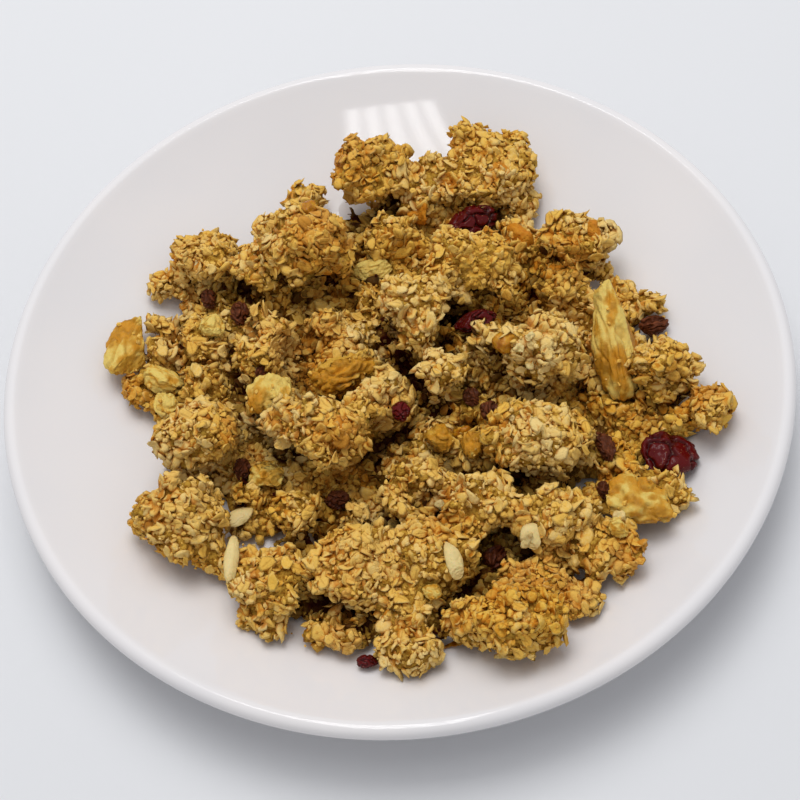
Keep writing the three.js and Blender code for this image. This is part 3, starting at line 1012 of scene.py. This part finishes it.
def fan_of_ridges(points, node):
    """How far each point of a piece lies below its fan of ridges."""
    if node not in FANNED:
        return np.zeros(len(points))
    count, depth = FANNED[node]
    low, high = points.min(0), points.max(0)
    middle = (low + high) / 2
    angle = np.arctan2(points[:, 0] - middle[0], high[1] - points[:, 1])
    near = smoothstep(0.0, 0.5, (middle[1] - points[:, 1]) / (high[1] - low[1]) * 2)
    return depth * near * (0.5 - 0.5 * np.cos(angle * count * 2 * math.pi)) ** 2


def fitted(points, centre, half):
    """The points, moved and scaled to fill a box."""
    middle = (points.max(0) + points.min(0)) / 2
    return centre + (points - middle) * (2 * half / np.ptp(points, axis=0))


def topping_mesh(node, kind):
    """The node's form with its broken faces, folds and wrinkles, no larger than its CAD solid."""
    base = merged_copy(node)
    low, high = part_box(node)
    levels = 1
    while len(base.polygons) * 3 * 4 ** (levels - 1) < DRESSED_FACES:
        levels += 1
    mesh = with_modifiers(base, ("SUBSURF", {"levels": levels, "render_levels": levels}))
    seed = sum(ord(c) for c in node) % 97
    breaks, stretch, folds, width, depth, grain = FOLDS.get(node, FOLDS[kind])
    centre, half = np.array((low + high) / 2), np.array((high - low) / 2)
    away, bare = broken(fitted(points_of(mesh), centre, half) - centre, breaks, random.Random(seed))
    points = fitted(tapered(away, TAPERED.get(node, 0.0)), centre, half)
    set_points(mesh, points)
    away = points - centre
    local = away @ np.linalg.eigh(np.cov(away.T))[1][:, ::-1]
    reach = np.abs(local).max(0)
    unit = local / reach[1]
    unit[:, 0] *= stretch
    warp = np.stack([noise_at(unit, 1 / 1.3, seed + shift) for shift in (11, 12, 13)], axis=1)
    fold = np.abs(noise_at(unit * folds + warp * 0.55, 1.0, seed))
    groove = (1 - smoothstep(0.0, width, fold)) * (1 - 0.6 * bare)
    fine = noise_at(unit, 0.16, seed + 5, 2)
    chips = np.abs(noise_at(unit, 0.42, seed + 6, 2)) * bare
    inward = reach[1] * (depth * groove + grain * (0.5 - 0.5 * fine) + 0.12 * chips)
    points -= normals_of(mesh) * (inward + fan_of_ridges(points, node))[:, None]
    set_points(mesh, points)
    set_attribute(mesh, "groove", groove)
    set_attribute(mesh, "bare", bare)
    set_attribute(mesh, "along", local[:, 0] / reach[0])
    set_attribute(mesh, "skin", noise_at(unit, 0.7, seed + 9, 3) + TOASTED_MORE.get(node, 0.0))
    return mesh


def dress(kind, finish):
    """Models every topping of a kind."""
    around = tree_of(bpy.data.objects[CORE].data)
    for node in toppings(kind):
        mesh = topping_mesh(node, kind)
        # How much sky each point sees, for the painted shade where the piece lies deep.
        set_attribute(mesh, "seen", openness_at(points_of(mesh), normals_of(mesh), around, 9))
        mesh.materials.append(finish)
        finished(node + "_piece", mesh, replaces=[node])


class GRANOLA_OT_walnuts(bpy.types.Operator):
    """Model the walnut pieces with their folds and skin."""

    bl_idname = "granola.walnuts"
    bl_label = "Walnuts"

    def execute(self, context):
        dress("walnut", walnut_flesh(context.scene.granola_toppings))
        return {"FINISHED"}


class GRANOLA_OT_fruit(bpy.types.Operator):
    """Model the wrinkled cranberries and raisins."""

    bl_idname = "granola.fruit"
    bl_label = "Dried fruit"

    def execute(self, context):
        settings = context.scene.granola_toppings
        dress("cranberry", cranberry_skin(settings))
        dress("raisin", raisin_skin(settings))
        return {"FINISHED"}


class GRANOLA_OT_slivers(bpy.types.Operator):
    """Model the pale nut slivers and the seed."""

    bl_idname = "granola.slivers"
    bl_label = "Nut slivers"

    def execute(self, context):
        finish = almond_flesh(context.scene.granola_toppings)
        dress("almond", finish)
        dress("seed", finish)
        return {"FINISHED"}


# Small pieces that stand out on the heap: [across and down the photograph in pixels, length, width and
# thickness in millimetres, turn in degrees, finish].
CHIPS = [
    (196, 264, 6.0, 4.6, 1.6, 35, "nut"),
    (230, 262, 4.4, 3.2, 1.4, 80, "nut"),
    (518, 347, 4.6, 4.0, 1.8, 10, "nut"),
    (530, 338, 4.2, 3.4, 1.6, 60, "nut"),
    (530, 362, 6.2, 4.6, 1.8, 120, "nut"),
    (622, 518, 7.0, 4.2, 2.0, 150, "nut"),
    (548, 410, 4.4, 3.4, 1.4, 20, "nut"),
    (512, 418, 4.0, 3.2, 1.4, 95, "nut"),
    (500, 343, 10.5, 10.0, 6.0, 20, "peel"),
    (461, 434, 8.0, 7.0, 4.0, 70, "peel"),
    (478, 268, 24.0, 20.0, 9.0, 75, "walnut"),
    (421, 215, 12.0, 9.0, 5.0, 80, "toasted"),
    (519, 232, 18.0, 7.5, 7.0, 85, "toasted"),
    (594, 230, 10.0, 5.0, 4.5, 60, "toasted"),
    (309, 208, 10.0, 7.0, 4.0, 20, "peel"),
    (284, 443, 8.5, 6.0, 1.1, 15, "oat"),
    (252, 487, 6.5, 5.6, 1.1, 60, "oat"),
    (432, 157, 6.5, 3.6, 1.0, 80, "oat"),
    (182, 275, 5.5, 3.6, 1.0, 110, "oat"),
    (345, 545, 6.0, 4.5, 1.2, 40, "oat"),
    (394, 525, 6.5, 5.5, 1.2, 85, "oat"),
    (442, 505, 6.0, 4.8, 1.4, 30, "nut"),
    (527, 540, 7.5, 4.0, 2.0, 70, "nut"),
    (600, 420, 6.0, 4.5, 1.2, 150, "oat"),
    (700, 420, 6.5, 5.0, 1.2, 15, "oat"),
    (575, 560, 6.0, 5.0, 1.2, 100, "oat"),
]
# Slivers of peel that lie on the dish under the clusters, given in the same way.
SLIVERS = [
    (462, 642, 16.0, 5.0, 1.4, 12, "peel"),
    (240, 530, 13.0, 6.0, 1.4, 15, "peel"),
    (384, 662, 9.0, 3.5, 1.2, 5, "peel"),
]


# How much of its thickness a chip lies sunk in the heap, and how its finish marks it; its seen and free marks
# set its painted shade.
CHIP_SUNK = 0.15
CHIP_MARKS = {
    "seen": 0.9, "free": 0.9, "toast": 0.3, "pale": 0.5, "tint": 0.3, "bare": 0.3, "skin": 0.1, "groove": 0.0,
}


def sighted(studio, across, down):
    """Where a line of sight of the photograph starts and which way it runs."""
    right, up, back = camera_axes(studio)
    spread = math.tan(studio.field_of_view / 2) / (PHOTO_SIZE / 2)
    sight = right * (across - PHOTO_SIZE / 2) * spread - up * (down - PHOTO_SIZE / 2) * spread - back
    return camera_place(studio), sight.normalized()


def chip_meshes(rows, tree, studio, sink):
    """The small pieces, each laid on what its line of sight meets, sorted by finish."""
    found = {}
    for number, (across, down, long, width, thickness, turn, finish) in enumerate(rows):
        start, sight = sighted(studio, across, down)
        place, normal = tree.ray_cast(start, sight)[:2]
        if place is None:
            raise RuntimeError(f"nothing at {across}, {down}")
        lean = (normal * 0.6 + camera_axes(studio)[2] * 0.4).normalized() if sink else normal
        draw = random.Random(number * 7 + 1)
        mesh = flake_mesh(f"chip_{number}", (long * MM, width * MM), thickness * MM, draw)
        turned = lean.to_track_quat("Z", "Y").to_matrix().to_4x4()
        turned = turned @ Matrix.Rotation(math.radians(turn), 4, "Z")
        mesh.transform(Matrix.Translation(place - lean * thickness * sink * MM) @ turned)
        for name, value in CHIP_MARKS.items():
            set_attribute(mesh, name, np.full(len(mesh.vertices), value))
        found.setdefault(finish, []).append(mesh)
    return found


class GRANOLA_OT_chips(bpy.types.Operator):
    """Lay the nut chips, candied peel and large flakes that stand out, on the heap and on the dish."""

    bl_idname = "granola.chips"
    bl_label = "Chips and peel"

    def execute(self, context):
        scene = context.scene
        names = ["coupe_dish", CORE, *FLAKE_KINDS, *(node + "_piece" for node in toppings())]
        around = tree_of(*(bpy.data.objects[name].data for name in names))
        dish = tree_of(bpy.data.objects["coupe_dish"].data)
        laid = chip_meshes(CHIPS, around, scene.granola_studio, CHIP_SUNK)
        for finish, meshes in chip_meshes(SLIVERS, dish, scene.granola_studio, 0.0).items():
            laid.setdefault(finish, []).extend(meshes)
        # The material, its slot, how rough the surface is in millimetres, and how finely it is divided.
        finishes = {
            "nut": (almond_flesh(scene.granola_toppings), "nut_sliver", 0.9, 2),
            "walnut": (walnut_flesh(scene.granola_toppings), "walnut", 3.2, 4),
            "peel": (candied_peel(scene.granola_toppings), "nut_sliver", 0.9, 2),
            "toasted": (toasted_chip(scene.granola_oats), "granola", 0.9, 2),
            "oat": (oat_flake(scene.granola_oats), "granola", 0.9, 2),
        }
        for finish, meshes in laid.items():
            material, slot, roughness, levels = finishes[finish]
            mesh = with_modifiers(
                joined(finish + "_chips", meshes), ("SUBSURF", {"levels": levels, "render_levels": levels})
            )
            points, normals = points_of(mesh), normals_of(mesh)
            rough = noise_at(points, 3.5 * MM, scene.granola_oats.seed, 4) * roughness * MM
            set_points(mesh, points + normals * rough[:, None])
            seated(mesh, scene.granola_plate)
            mesh.materials.clear()
            mesh.materials.append(material)
            finished(finish + "_chips", mesh, replaces=[HEAP])
        return {"FINISHED"}


# ---------------------------------------------------------------- materials

class Shader:
    """A material or a shader node group under construction."""

    def __init__(self, tree):
        self.tree = tree

    def add(self, kind, settings=None, inputs=None):
        """A node with its own settings, and values or links for its inputs."""
        node = self.tree.nodes.new(kind)
        for key, value in (settings or {}).items():
            setattr(node, key, value)
        for key, value in (inputs or {}).items():
            socket = node.inputs[key]
            if isinstance(value, bpy.types.NodeSocket):
                self.tree.links.new(value, socket)
            else:
                socket.default_value = value
        return node

    def math(self, operation, first, second=0.0):
        """The result of a sum on two values."""
        return self.add("ShaderNodeMath", {"operation": operation}, {0: first, 1: second}).outputs[0]

    def ramp(self, value, low, high, to_low=0.0, to_high=1.0):
        """The value moved smoothly from one range to another."""
        settings = {"interpolation_type": "SMOOTHSTEP"}
        inputs = {"Value": value, "From Min": low, "From Max": high, "To Min": to_low, "To Max": to_high}
        return self.add("ShaderNodeMapRange", settings, inputs).outputs["Result"]

    def mix(self, factor, first, second):
        """A colour that runs from the first at 0 to the second at 1."""
        node = self.add("ShaderNodeMix", {"data_type": "RGBA", "clamp_factor": True})
        for index, value in ((0, factor), (6, first), (7, second)):
            if isinstance(value, bpy.types.NodeSocket):
                self.tree.links.new(value, node.inputs[index])
            else:
                node.inputs[index].default_value = value if index == 0 else (*value, 1)
        return node.outputs[2]

    def attribute(self, name):
        """What the mesh was marked with under that name."""
        return self.add("ShaderNodeAttribute", {"attribute_name": name}).outputs["Fac"]

    def noise(self, scale, detail=3.0):
        """Noise that stays with the object."""
        place = self.add("ShaderNodeTexCoord").outputs["Object"]
        inputs = {"Vector": place, "Scale": scale, "Detail": detail, "Roughness": 0.6}
        return self.add("ShaderNodeTexNoise", None, inputs).outputs["Fac"]

    def bump(self, height, strength, distance):
        """The normal of a surface with that relief."""
        inputs = {"Height": height, "Strength": strength, "Distance": distance}
        return self.add("ShaderNodeBump", None, inputs).outputs["Normal"]


def new_material(name, **constants):
    """A material with a Principled BSDF, whose constants are set on its own sockets."""
    material = bpy.data.materials.new(name)
    material.use_nodes = True
    surface = material.node_tree.nodes["Principled BSDF"]
    for key, value in constants.items():
        surface.inputs[key.replace("_", " ")].default_value = value
    return material, Shader(material.node_tree), surface


def join(build, surface, **links):
    """Links values to the sockets of a Principled BSDF, by name."""
    for key, value in links.items():
        build.tree.links.new(value, surface.inputs[key.replace("_", " ")])


def crumb_grain():
    """A shader group: the fine uneven grain that everything baked shares, as a mask and a height."""
    name = "Crumb grain"
    if name in bpy.data.node_groups:
        return bpy.data.node_groups[name]
    tree = bpy.data.node_groups.new(name, "ShaderNodeTree")
    tree.interface.new_socket("Scale", in_out="INPUT", socket_type="NodeSocketFloat").default_value = 900
    tree.interface.new_socket("Pits", in_out="INPUT", socket_type="NodeSocketFloat").default_value = 0.5
    tree.interface.new_socket("Mask", in_out="OUTPUT", socket_type="NodeSocketFloat")
    tree.interface.new_socket("Height", in_out="OUTPUT", socket_type="NodeSocketFloat")
    build = Shader(tree)
    start, end = build.add("NodeGroupInput"), build.add("NodeGroupOutput")
    place = build.add("ShaderNodeTexCoord").outputs["Object"]
    inputs = {"Vector": place, "Scale": start.outputs["Scale"], "Detail": 4.0, "Roughness": 0.65}
    mask = build.add("ShaderNodeTexNoise", None, inputs).outputs["Fac"]
    cell_scale = build.math("MULTIPLY", start.outputs["Scale"], 1.7)
    cells = build.add("ShaderNodeTexVoronoi", None, {"Vector": place, "Scale": cell_scale})
    pits = build.ramp(cells.outputs["Distance"], 0.0, 0.45, 1.0, 0.0)
    pits = build.math("MULTIPLY", pits, start.outputs["Pits"])
    height = build.math("SUBTRACT", mask, pits)
    tree.links.new(mask, end.inputs["Mask"])
    tree.links.new(height, end.inputs["Height"])
    return tree


def grain(build, scale, pits):
    """The mask and the height of the shared grain, at a scale."""
    node = build.add("ShaderNodeGroup", {"node_tree": crumb_grain()}, {"Scale": scale, "Pits": pits})
    return node.outputs["Mask"], node.outputs["Height"]


def with_painted_shade(build, body):
    """Mixes a colour toward the dark shade colour where the piece sees little sky: painted shade deep in the
    heap.
    """
    deep = build.ramp(build.attribute("seen"), 0.1, 0.55, 0.85, 0.0)
    return build.mix(deep, body, bpy.context.scene.granola_oats.deep_shade_colour)


def glazed_ceramic(plate):
    """White glaze, thinner and cooler in soft patches, with bare clay under the foot ring."""
    material, build, surface = new_material("white glaze", Roughness=0.06, IOR=1.5)
    place = build.add("ShaderNodeTexCoord").outputs["Object"]
    height = build.add("ShaderNodeSeparateXYZ", None, {0: place}).outputs["Z"]
    pooled = build.noise(14, 2.0)
    thin = [c * f for c, f in zip(plate.glaze, (0.965, 0.975, 0.985))]
    glaze = build.mix(build.ramp(pooled, 0.35, 0.65), plate.glaze, thin)
    bare = build.ramp(height, 0.25 * MM, 0.45 * MM, 1.0, 0.0)
    rough = build.math("ADD", build.ramp(pooled, 0.3, 0.7, 0.045, 0.07), build.math("MULTIPLY", bare, 0.6))
    join(
        build, surface,
        Base_Color=build.mix(bare, glaze, plate.bisque),
        Roughness=rough,
        Normal=build.bump(build.noise(60, 1.0), 0.02, 0.2 * MM),
    )
    return material


def packed_oats(granola):
    """The core: baked oat mash, with painted shade that darkens it almost to black where it sees little sky.
    """
    name = "packed oats"
    if name in bpy.data.materials:
        return bpy.data.materials[name]
    material, build, surface = new_material(name, Roughness=0.6, Specular_IOR_Level=0.08)
    seen = build.attribute("seen")
    mask, height = grain(build, 700, 0.6)
    dark, light = [c * 0.42 for c in granola.toasted], [c * 0.72 for c in granola.golden]
    oats = build.mix(build.ramp(mask, 0.35, 0.65), dark, light)
    join(
        build, surface,
        # Painted shade: the oats run toward the dark shade colour where the core sees little sky.
        Base_Color=build.mix(build.ramp(seen, 0.15, 0.75), granola.deep_shade_colour, oats),
        Roughness=build.ramp(mask, 0.3, 0.7, 0.42, 0.75),
        Normal=build.bump(height, 0.8, 0.6 * MM),
    )
    return material


def oat_flake(granola):
    """Oat flakes from pale to toasted, with lighter edges, a dark crease, and painted shade between the
    flakes and where they lie deep.
    """
    name = "baked oat flakes"
    if name in bpy.data.materials:
        return bpy.data.materials[name]
    material, build, surface = new_material(name, Roughness=0.5, Specular_IOR_Level=0.08)
    seen, tint = build.attribute("seen"), build.attribute("tint")
    toast, pale = build.attribute("toast"), build.attribute("pale")
    along, across = build.attribute("along"), build.attribute("across")
    mask, height = grain(build, 1100, 0.35)
    warmth = build.math("ADD", build.math("MULTIPLY", toast, 0.75), build.math("MULTIPLY", tint, 0.55))
    uneven = build.math("SUBTRACT", mask, 0.5)
    warmth = build.math("ADD", warmth, build.math("MULTIPLY", uneven, 0.9))
    body = build.mix(build.ramp(warmth, 0.05, 0.62), granola.pale, granola.golden)
    body = build.mix(build.ramp(warmth, 0.62, 1.25), body, granola.toasted)
    body = build.mix(build.math("MULTIPLY", pale, 0.45), body, granola.pale)
    squares = build.math("ADD", build.math("POWER", along, 2.0), build.math("POWER", across, 2.0))
    reach = build.math("SQRT", squares)
    rim = build.ramp(reach, 0.72, 1.0)
    body = build.mix(build.math("MULTIPLY", rim, 0.35), body, granola.pale)
    crease = build.ramp(build.math("ABSOLUTE", across), 0.02, 0.2, 1.0, 0.0)
    crease = build.math("MULTIPLY", crease, build.ramp(reach, 0.4, 0.8, 0.4, 0.0))
    creased = build.math("MULTIPLY", crease, build.ramp(tint, 0.45, 0.55))
    body = build.mix(creased, body, [c * 0.6 for c in granola.toasted])
    # Painted shade between the flakes: where a flake sees little sky close by, it runs toward the crevice
    # colour.
    free = build.math("ADD", build.attribute("free"), build.math("MULTIPLY", uneven, 0.5))
    body = build.mix(build.ramp(free, 0.0, 0.6, 0.8, 0.0), body, granola.crevice_shade_and_crust)
    # Painted shade deep in the heap.
    shade = build.ramp(seen, 0.05, 0.55, 0.95, 0.0)
    relief = build.math("SUBTRACT", height, build.math("MULTIPLY", creased, 0.6))
    join(
        build, surface,
        Base_Color=build.mix(shade, body, granola.deep_shade_colour),
        Roughness=build.ramp(mask, 0.3, 0.7, 0.38, 0.62),
        Normal=build.bump(relief, 0.7, 0.45 * MM),
    )
    return material


def walnut_flesh(settings):
    """Pale walnut flesh where the nut is broken, toasted skin elsewhere and in the folds, and painted shade
    where it lies deep in the heap.
    """
    name = "walnut flesh"
    if name in bpy.data.materials:
        return bpy.data.materials[name]
    material, build, surface = new_material(name, Specular_IOR_Level=0.2, Subsurface_Weight=0.1)
    surface.inputs["Subsurface Radius"].default_value = (1.0, 0.6, 0.25)
    surface.inputs["Subsurface Scale"].default_value = 1.2 * MM
    mask, height = grain(build, 420, 0.2)
    patches = build.math("ADD", build.attribute("skin"), build.math("SUBTRACT", mask, 0.5))
    bare = build.attribute("bare")
    skin = build.ramp(build.math("SUBTRACT", patches, build.math("MULTIPLY", bare, 0.75)), -0.2, 0.45)
    skin = build.math("MAXIMUM", skin, build.math("MULTIPLY", build.attribute("groove"), 0.4))
    warm = [c * f for c, f in zip(settings.walnut, (0.86, 0.66, 0.36))]
    flesh = build.mix(build.ramp(patches, -0.35, 0.15), settings.walnut, warm)
    dark = [c * 0.6 for c in settings.walnut_skin]
    toasted = build.mix(build.ramp(build.noise(260), 0.35, 0.65), settings.walnut_skin, dark)
    join(
        build, surface,
        Base_Color=with_painted_shade(build, build.mix(build.math("MULTIPLY", skin, 0.8), flesh, toasted)),
        Roughness=build.ramp(mask, 0.3, 0.7, 0.3, 0.5),
        Normal=build.bump(height, 0.8, 0.6 * MM),
    )
    return material


def cranberry_skin(settings):
    """Glossy dark red skin with specks of sugar, painted shade in its wrinkles and where it lies deep in the
    heap.
    """
    material, build, surface = new_material("cranberry skin", Coat_Weight=0.3, Coat_Roughness=0.1)
    surface.inputs["Specular IOR Level"].default_value = 0.1
    mask, height = grain(build, 600, 0.3)
    place = build.add("ShaderNodeTexCoord").outputs["Object"]
    specks = build.add("ShaderNodeTexVoronoi", None, {"Vector": place, "Scale": 1300.0}).outputs["Distance"]
    sugar = build.math("MULTIPLY", build.ramp(specks, 0.12, 0.24, 1.0, 0.0), build.ramp(mask, 0.48, 0.6))
    # Painted shade: the skin darkens in its wrinkles.
    flesh = build.mix(build.attribute("groove"), settings.cranberry, [c * 0.35 for c in settings.cranberry])
    flesh = build.mix(build.math("MULTIPLY", sugar, 0.7), flesh, settings.cranberry_bloom)
    join(
        build, surface,
        Base_Color=with_painted_shade(build, flesh),
        Roughness=build.ramp(mask, 0.3, 0.7, 0.22, 0.45),
        Normal=build.bump(height, 0.4, 0.4 * MM),
    )
    return material


def raisin_skin(settings):
    """Dark wrinkled skin with a faint bloom on its ridges, and painted shade where it lies deep in the heap.
    """
    material, build, surface = new_material("raisin skin", Roughness=0.4, Specular_IOR_Level=0.15)
    mask, height = grain(build, 700, 0.3)
    ridge = build.ramp(build.attribute("groove"), 0.1, 0.7, 1.0, 0.0)
    bloom = [c * f for c, f in zip(settings.raisin, (2.6, 2.8, 3.0))]
    skin = build.mix(build.math("MULTIPLY", ridge, build.ramp(mask, 0.4, 0.7)), settings.raisin, bloom)
    join(
        build, surface,
        Base_Color=with_painted_shade(build, skin),
        Roughness=build.ramp(mask, 0.3, 0.7, 0.28, 0.5),
        Normal=build.bump(height, 0.4, 0.4 * MM),
    )
    return material


def almond_flesh(settings):
    """Cream nut flesh, a little darker toward its ends."""
    name = "nut sliver flesh"
    if name in bpy.data.materials:
        return bpy.data.materials[name]
    material, build, surface = new_material(name, Roughness=0.42, Subsurface_Weight=0.1)
    surface.inputs["Subsurface Scale"].default_value = 1.0 * MM
    mask, height = grain(build, 500, 0.1)
    ends = build.ramp(build.math("ABSOLUTE", build.attribute("along")), 0.6, 1.0)
    light = [min(1, c * 1.15) for c in settings.almond]
    dark = [c * f for c, f in zip(settings.almond, (0.8, 0.62, 0.4))]
    cream = build.mix(build.ramp(mask, 0.35, 0.65), settings.almond, light)
    join(
        build, surface,
        Base_Color=build.mix(build.math("MULTIPLY", ends, 0.5), cream, dark),
        Roughness=build.ramp(mask, 0.3, 0.7, 0.34, 0.5),
        Normal=build.bump(height, 0.2, 0.3 * MM),
    )
    return material


def candied_peel(settings):
    """Translucent amber peel with darker veins."""
    material, build, surface = new_material("candied peel", Specular_IOR_Level=0.4, Subsurface_Weight=0.2)
    surface.inputs["Subsurface Scale"].default_value = 2.0 * MM
    mask, height = grain(build, 400, 0.1)
    dark = [c * f for c, f in zip(settings.peel, (0.6, 0.42, 0.4))]
    join(
        build, surface,
        Base_Color=build.mix(build.ramp(mask, 0.35, 0.65), dark, settings.peel),
        Roughness=build.ramp(mask, 0.3, 0.7, 0.25, 0.4),
        Normal=build.bump(height, 0.4, 0.4 * MM),
    )
    return material


def toasted_chip(granola):
    """Brown crust, baked darker than the flakes."""
    material, build, surface = new_material("toasted crust", Specular_IOR_Level=0.25)
    mask, height = grain(build, 600, 0.5)
    join(
        build, surface,
        Base_Color=build.mix(build.ramp(mask, 0.35, 0.65), granola.crevice_shade_and_crust, granola.toasted),
        Roughness=build.ramp(mask, 0.3, 0.7, 0.4, 0.6),
        Normal=build.bump(height, 0.9, 0.6 * MM),
    )
    return material


# ---------------------------------------------------------------- the studio

# What the photograph's camera looks at, in millimetres.
TARGET = (0.1, -7.58, 15.0)
SENSOR = 36.0

# The ceiling light: five tubes side by side under a diffuser. Millimetres.
TUBES_AT = (33, -32, -100, -170, -238)
TUBE_SIZE = (36, 1100)
DIFFUSER_SIZE = (330, 1120)
LIGHT_HEIGHT = 1500
TUBES_Y = 190
# The soft panel behind it, which doesn't show in the glaze.
PANEL_AT = (-60, 620)
PANEL_SIZE = (1100, 1100)
# Half the width of the table top, in metres.
TABLE_REACH = 4.0


def camera_axes(studio):
    """Right, up and back of the photograph's camera."""
    lift, roll = studio.camera_elevation, studio.camera_roll
    back = Vector((0, -math.cos(lift), math.sin(lift)))
    right, up = Vector((1, 0, 0)), Vector((0, math.sin(lift), math.cos(lift)))
    return (
        right * math.cos(roll) + up * math.sin(roll),
        up * math.cos(roll) - right * math.sin(roll),
        back,
    )


def camera_place(studio):
    """Where the photograph's camera stands."""
    return Vector(TARGET) * MM + camera_axes(studio)[2] * studio.camera_distance


def add_camera(studio):
    """Sets up the photograph's camera."""
    right, up, back = camera_axes(studio)
    camera = bpy.data.cameras.new("photo_camera")
    camera.sensor_width = SENSOR
    camera.lens = SENSOR / 2 / math.tan(studio.field_of_view / 2)
    camera.clip_start = 0.01
    holder = bpy.data.objects.new("photo_camera", camera)
    place = camera_place(studio)
    holder.matrix_world = Matrix((
        (right.x, up.x, back.x, place.x),
        (right.y, up.y, back.y, place.y),
        (right.z, up.z, back.z, place.z),
        (0, 0, 0, 1),
    ))
    bpy.context.scene.collection.objects.link(holder)
    bpy.context.scene.camera = holder


def area_light(name, place, size, power, mirrored=True):
    """A rectangular light overhead that shines straight down, its place and size in millimetres."""
    light = bpy.data.lights.new(name, "AREA")
    light.shape = "RECTANGLE"
    light.size, light.size_y = (s * MM for s in size)
    light.energy = power
    holder = bpy.data.objects.new(name, light)
    holder.location = [p * MM for p in place]
    holder.visible_glossy = mirrored
    bpy.context.scene.collection.objects.link(holder)


def table_top(studio):
    """A smooth pale table top with a faint unevenness."""
    material, build, surface = new_material("pale table top", Roughness=0.6)
    faint = [c * 0.985 for c in studio.floor]
    uneven = build.ramp(build.noise(3.0, 2.0), 0.3, 0.7)
    join(build, surface, Base_Color=build.mix(uneven, studio.floor, faint))
    return material


class GRANOLA_OT_studio(bpy.types.Operator):
    """Set up the camera, the pale table top and the soft light."""

    bl_idname = "granola.studio"
    bl_label = "Studio"

    def execute(self, context):
        scene, studio = context.scene, context.scene.granola_studio
        add_camera(studio)
        mesh = bpy.data.meshes.new("table_top")
        corners = [(x * TABLE_REACH, y * TABLE_REACH, 0) for x, y in ((-1, -1), (1, -1), (1, 1), (-1, 1))]
        mesh.from_pydata(corners, [], [(0, 1, 2, 3)])
        mesh.materials.append(table_top(studio))
        table = bpy.data.objects.new("table_top", mesh)
        scene.collection.objects.link(table)
        for number, x in enumerate(TUBES_AT):
            area_light(f"tube_{number + 1}", (x, TUBES_Y, LIGHT_HEIGHT), TUBE_SIZE, studio.tube_power)
        middle = sum(TUBES_AT) / len(TUBES_AT)
        area_light("diffuser", (middle, TUBES_Y, LIGHT_HEIGHT + 5), DIFFUSER_SIZE, studio.diffuser_power)
        area_light(
            "soft_panel", (*PANEL_AT, LIGHT_HEIGHT + 10), PANEL_SIZE, studio.panel_power, mirrored=False
        )
        world = bpy.data.worlds.new("room")
        world.use_nodes = True
        light = world.node_tree.nodes["Background"]
        light.inputs["Color"].default_value = (*studio.room, 1)
        light.inputs["Strength"].default_value = studio.room_strength
        scene.world = world
        scene.view_settings.view_transform = "Standard"
        scene.view_settings.look = "None"
        return {"FINISHED"}


# ---------------------------------------------------------------- panel and main

OPERATORS = (
    GRANOLA_OT_dish,
    GRANOLA_OT_core,
    GRANOLA_OT_flakes,
    GRANOLA_OT_walnuts,
    GRANOLA_OT_fruit,
    GRANOLA_OT_slivers,
    GRANOLA_OT_chips,
    GRANOLA_OT_crumbs,
    GRANOLA_OT_studio,
)
SETTINGS = {
    "granola_plate": PlateSettings,
    "granola_oats": GranolaSettings,
    "granola_toppings": ToppingSettings,
    "granola_studio": StudioSettings,
}


class GRANOLA_PT_panel(bpy.types.Panel):
    """The steps of the plate of granola, in their order."""

    bl_label = "Plate of Granola"
    bl_idname = "GRANOLA_PT_panel"
    bl_space_type = "VIEW_3D"
    bl_region_type = "UI"
    bl_category = "Granola"

    def draw(self, context):
        for name, group in SETTINGS.items():
            box = self.layout.box()
            for setting in group.__annotations__:
                box.prop(getattr(context.scene, name), setting)
        for operator in OPERATORS:
            self.layout.operator(operator.bl_idname)


def register():
    """Adds the settings, the operators and the panel to Blender."""
    for cls in (*SETTINGS.values(), *OPERATORS, GRANOLA_PT_panel):
        bpy.utils.register_class(cls)
    for name, group in SETTINGS.items():
        setattr(bpy.types.Scene, name, PointerProperty(type=group))


def unregister():
    """Takes them out again."""
    for name in SETTINGS:
        delattr(bpy.types.Scene, name)
    for cls in reversed((*SETTINGS.values(), *OPERATORS, GRANOLA_PT_panel)):
        bpy.utils.unregister_class(cls)


def main():
    """Makes every piece in order."""
    register()
    for operator in OPERATORS:
        group, name = operator.bl_idname.split(".")
        getattr(getattr(bpy.ops, group), name)()


if __name__ == "__main__":
    main()
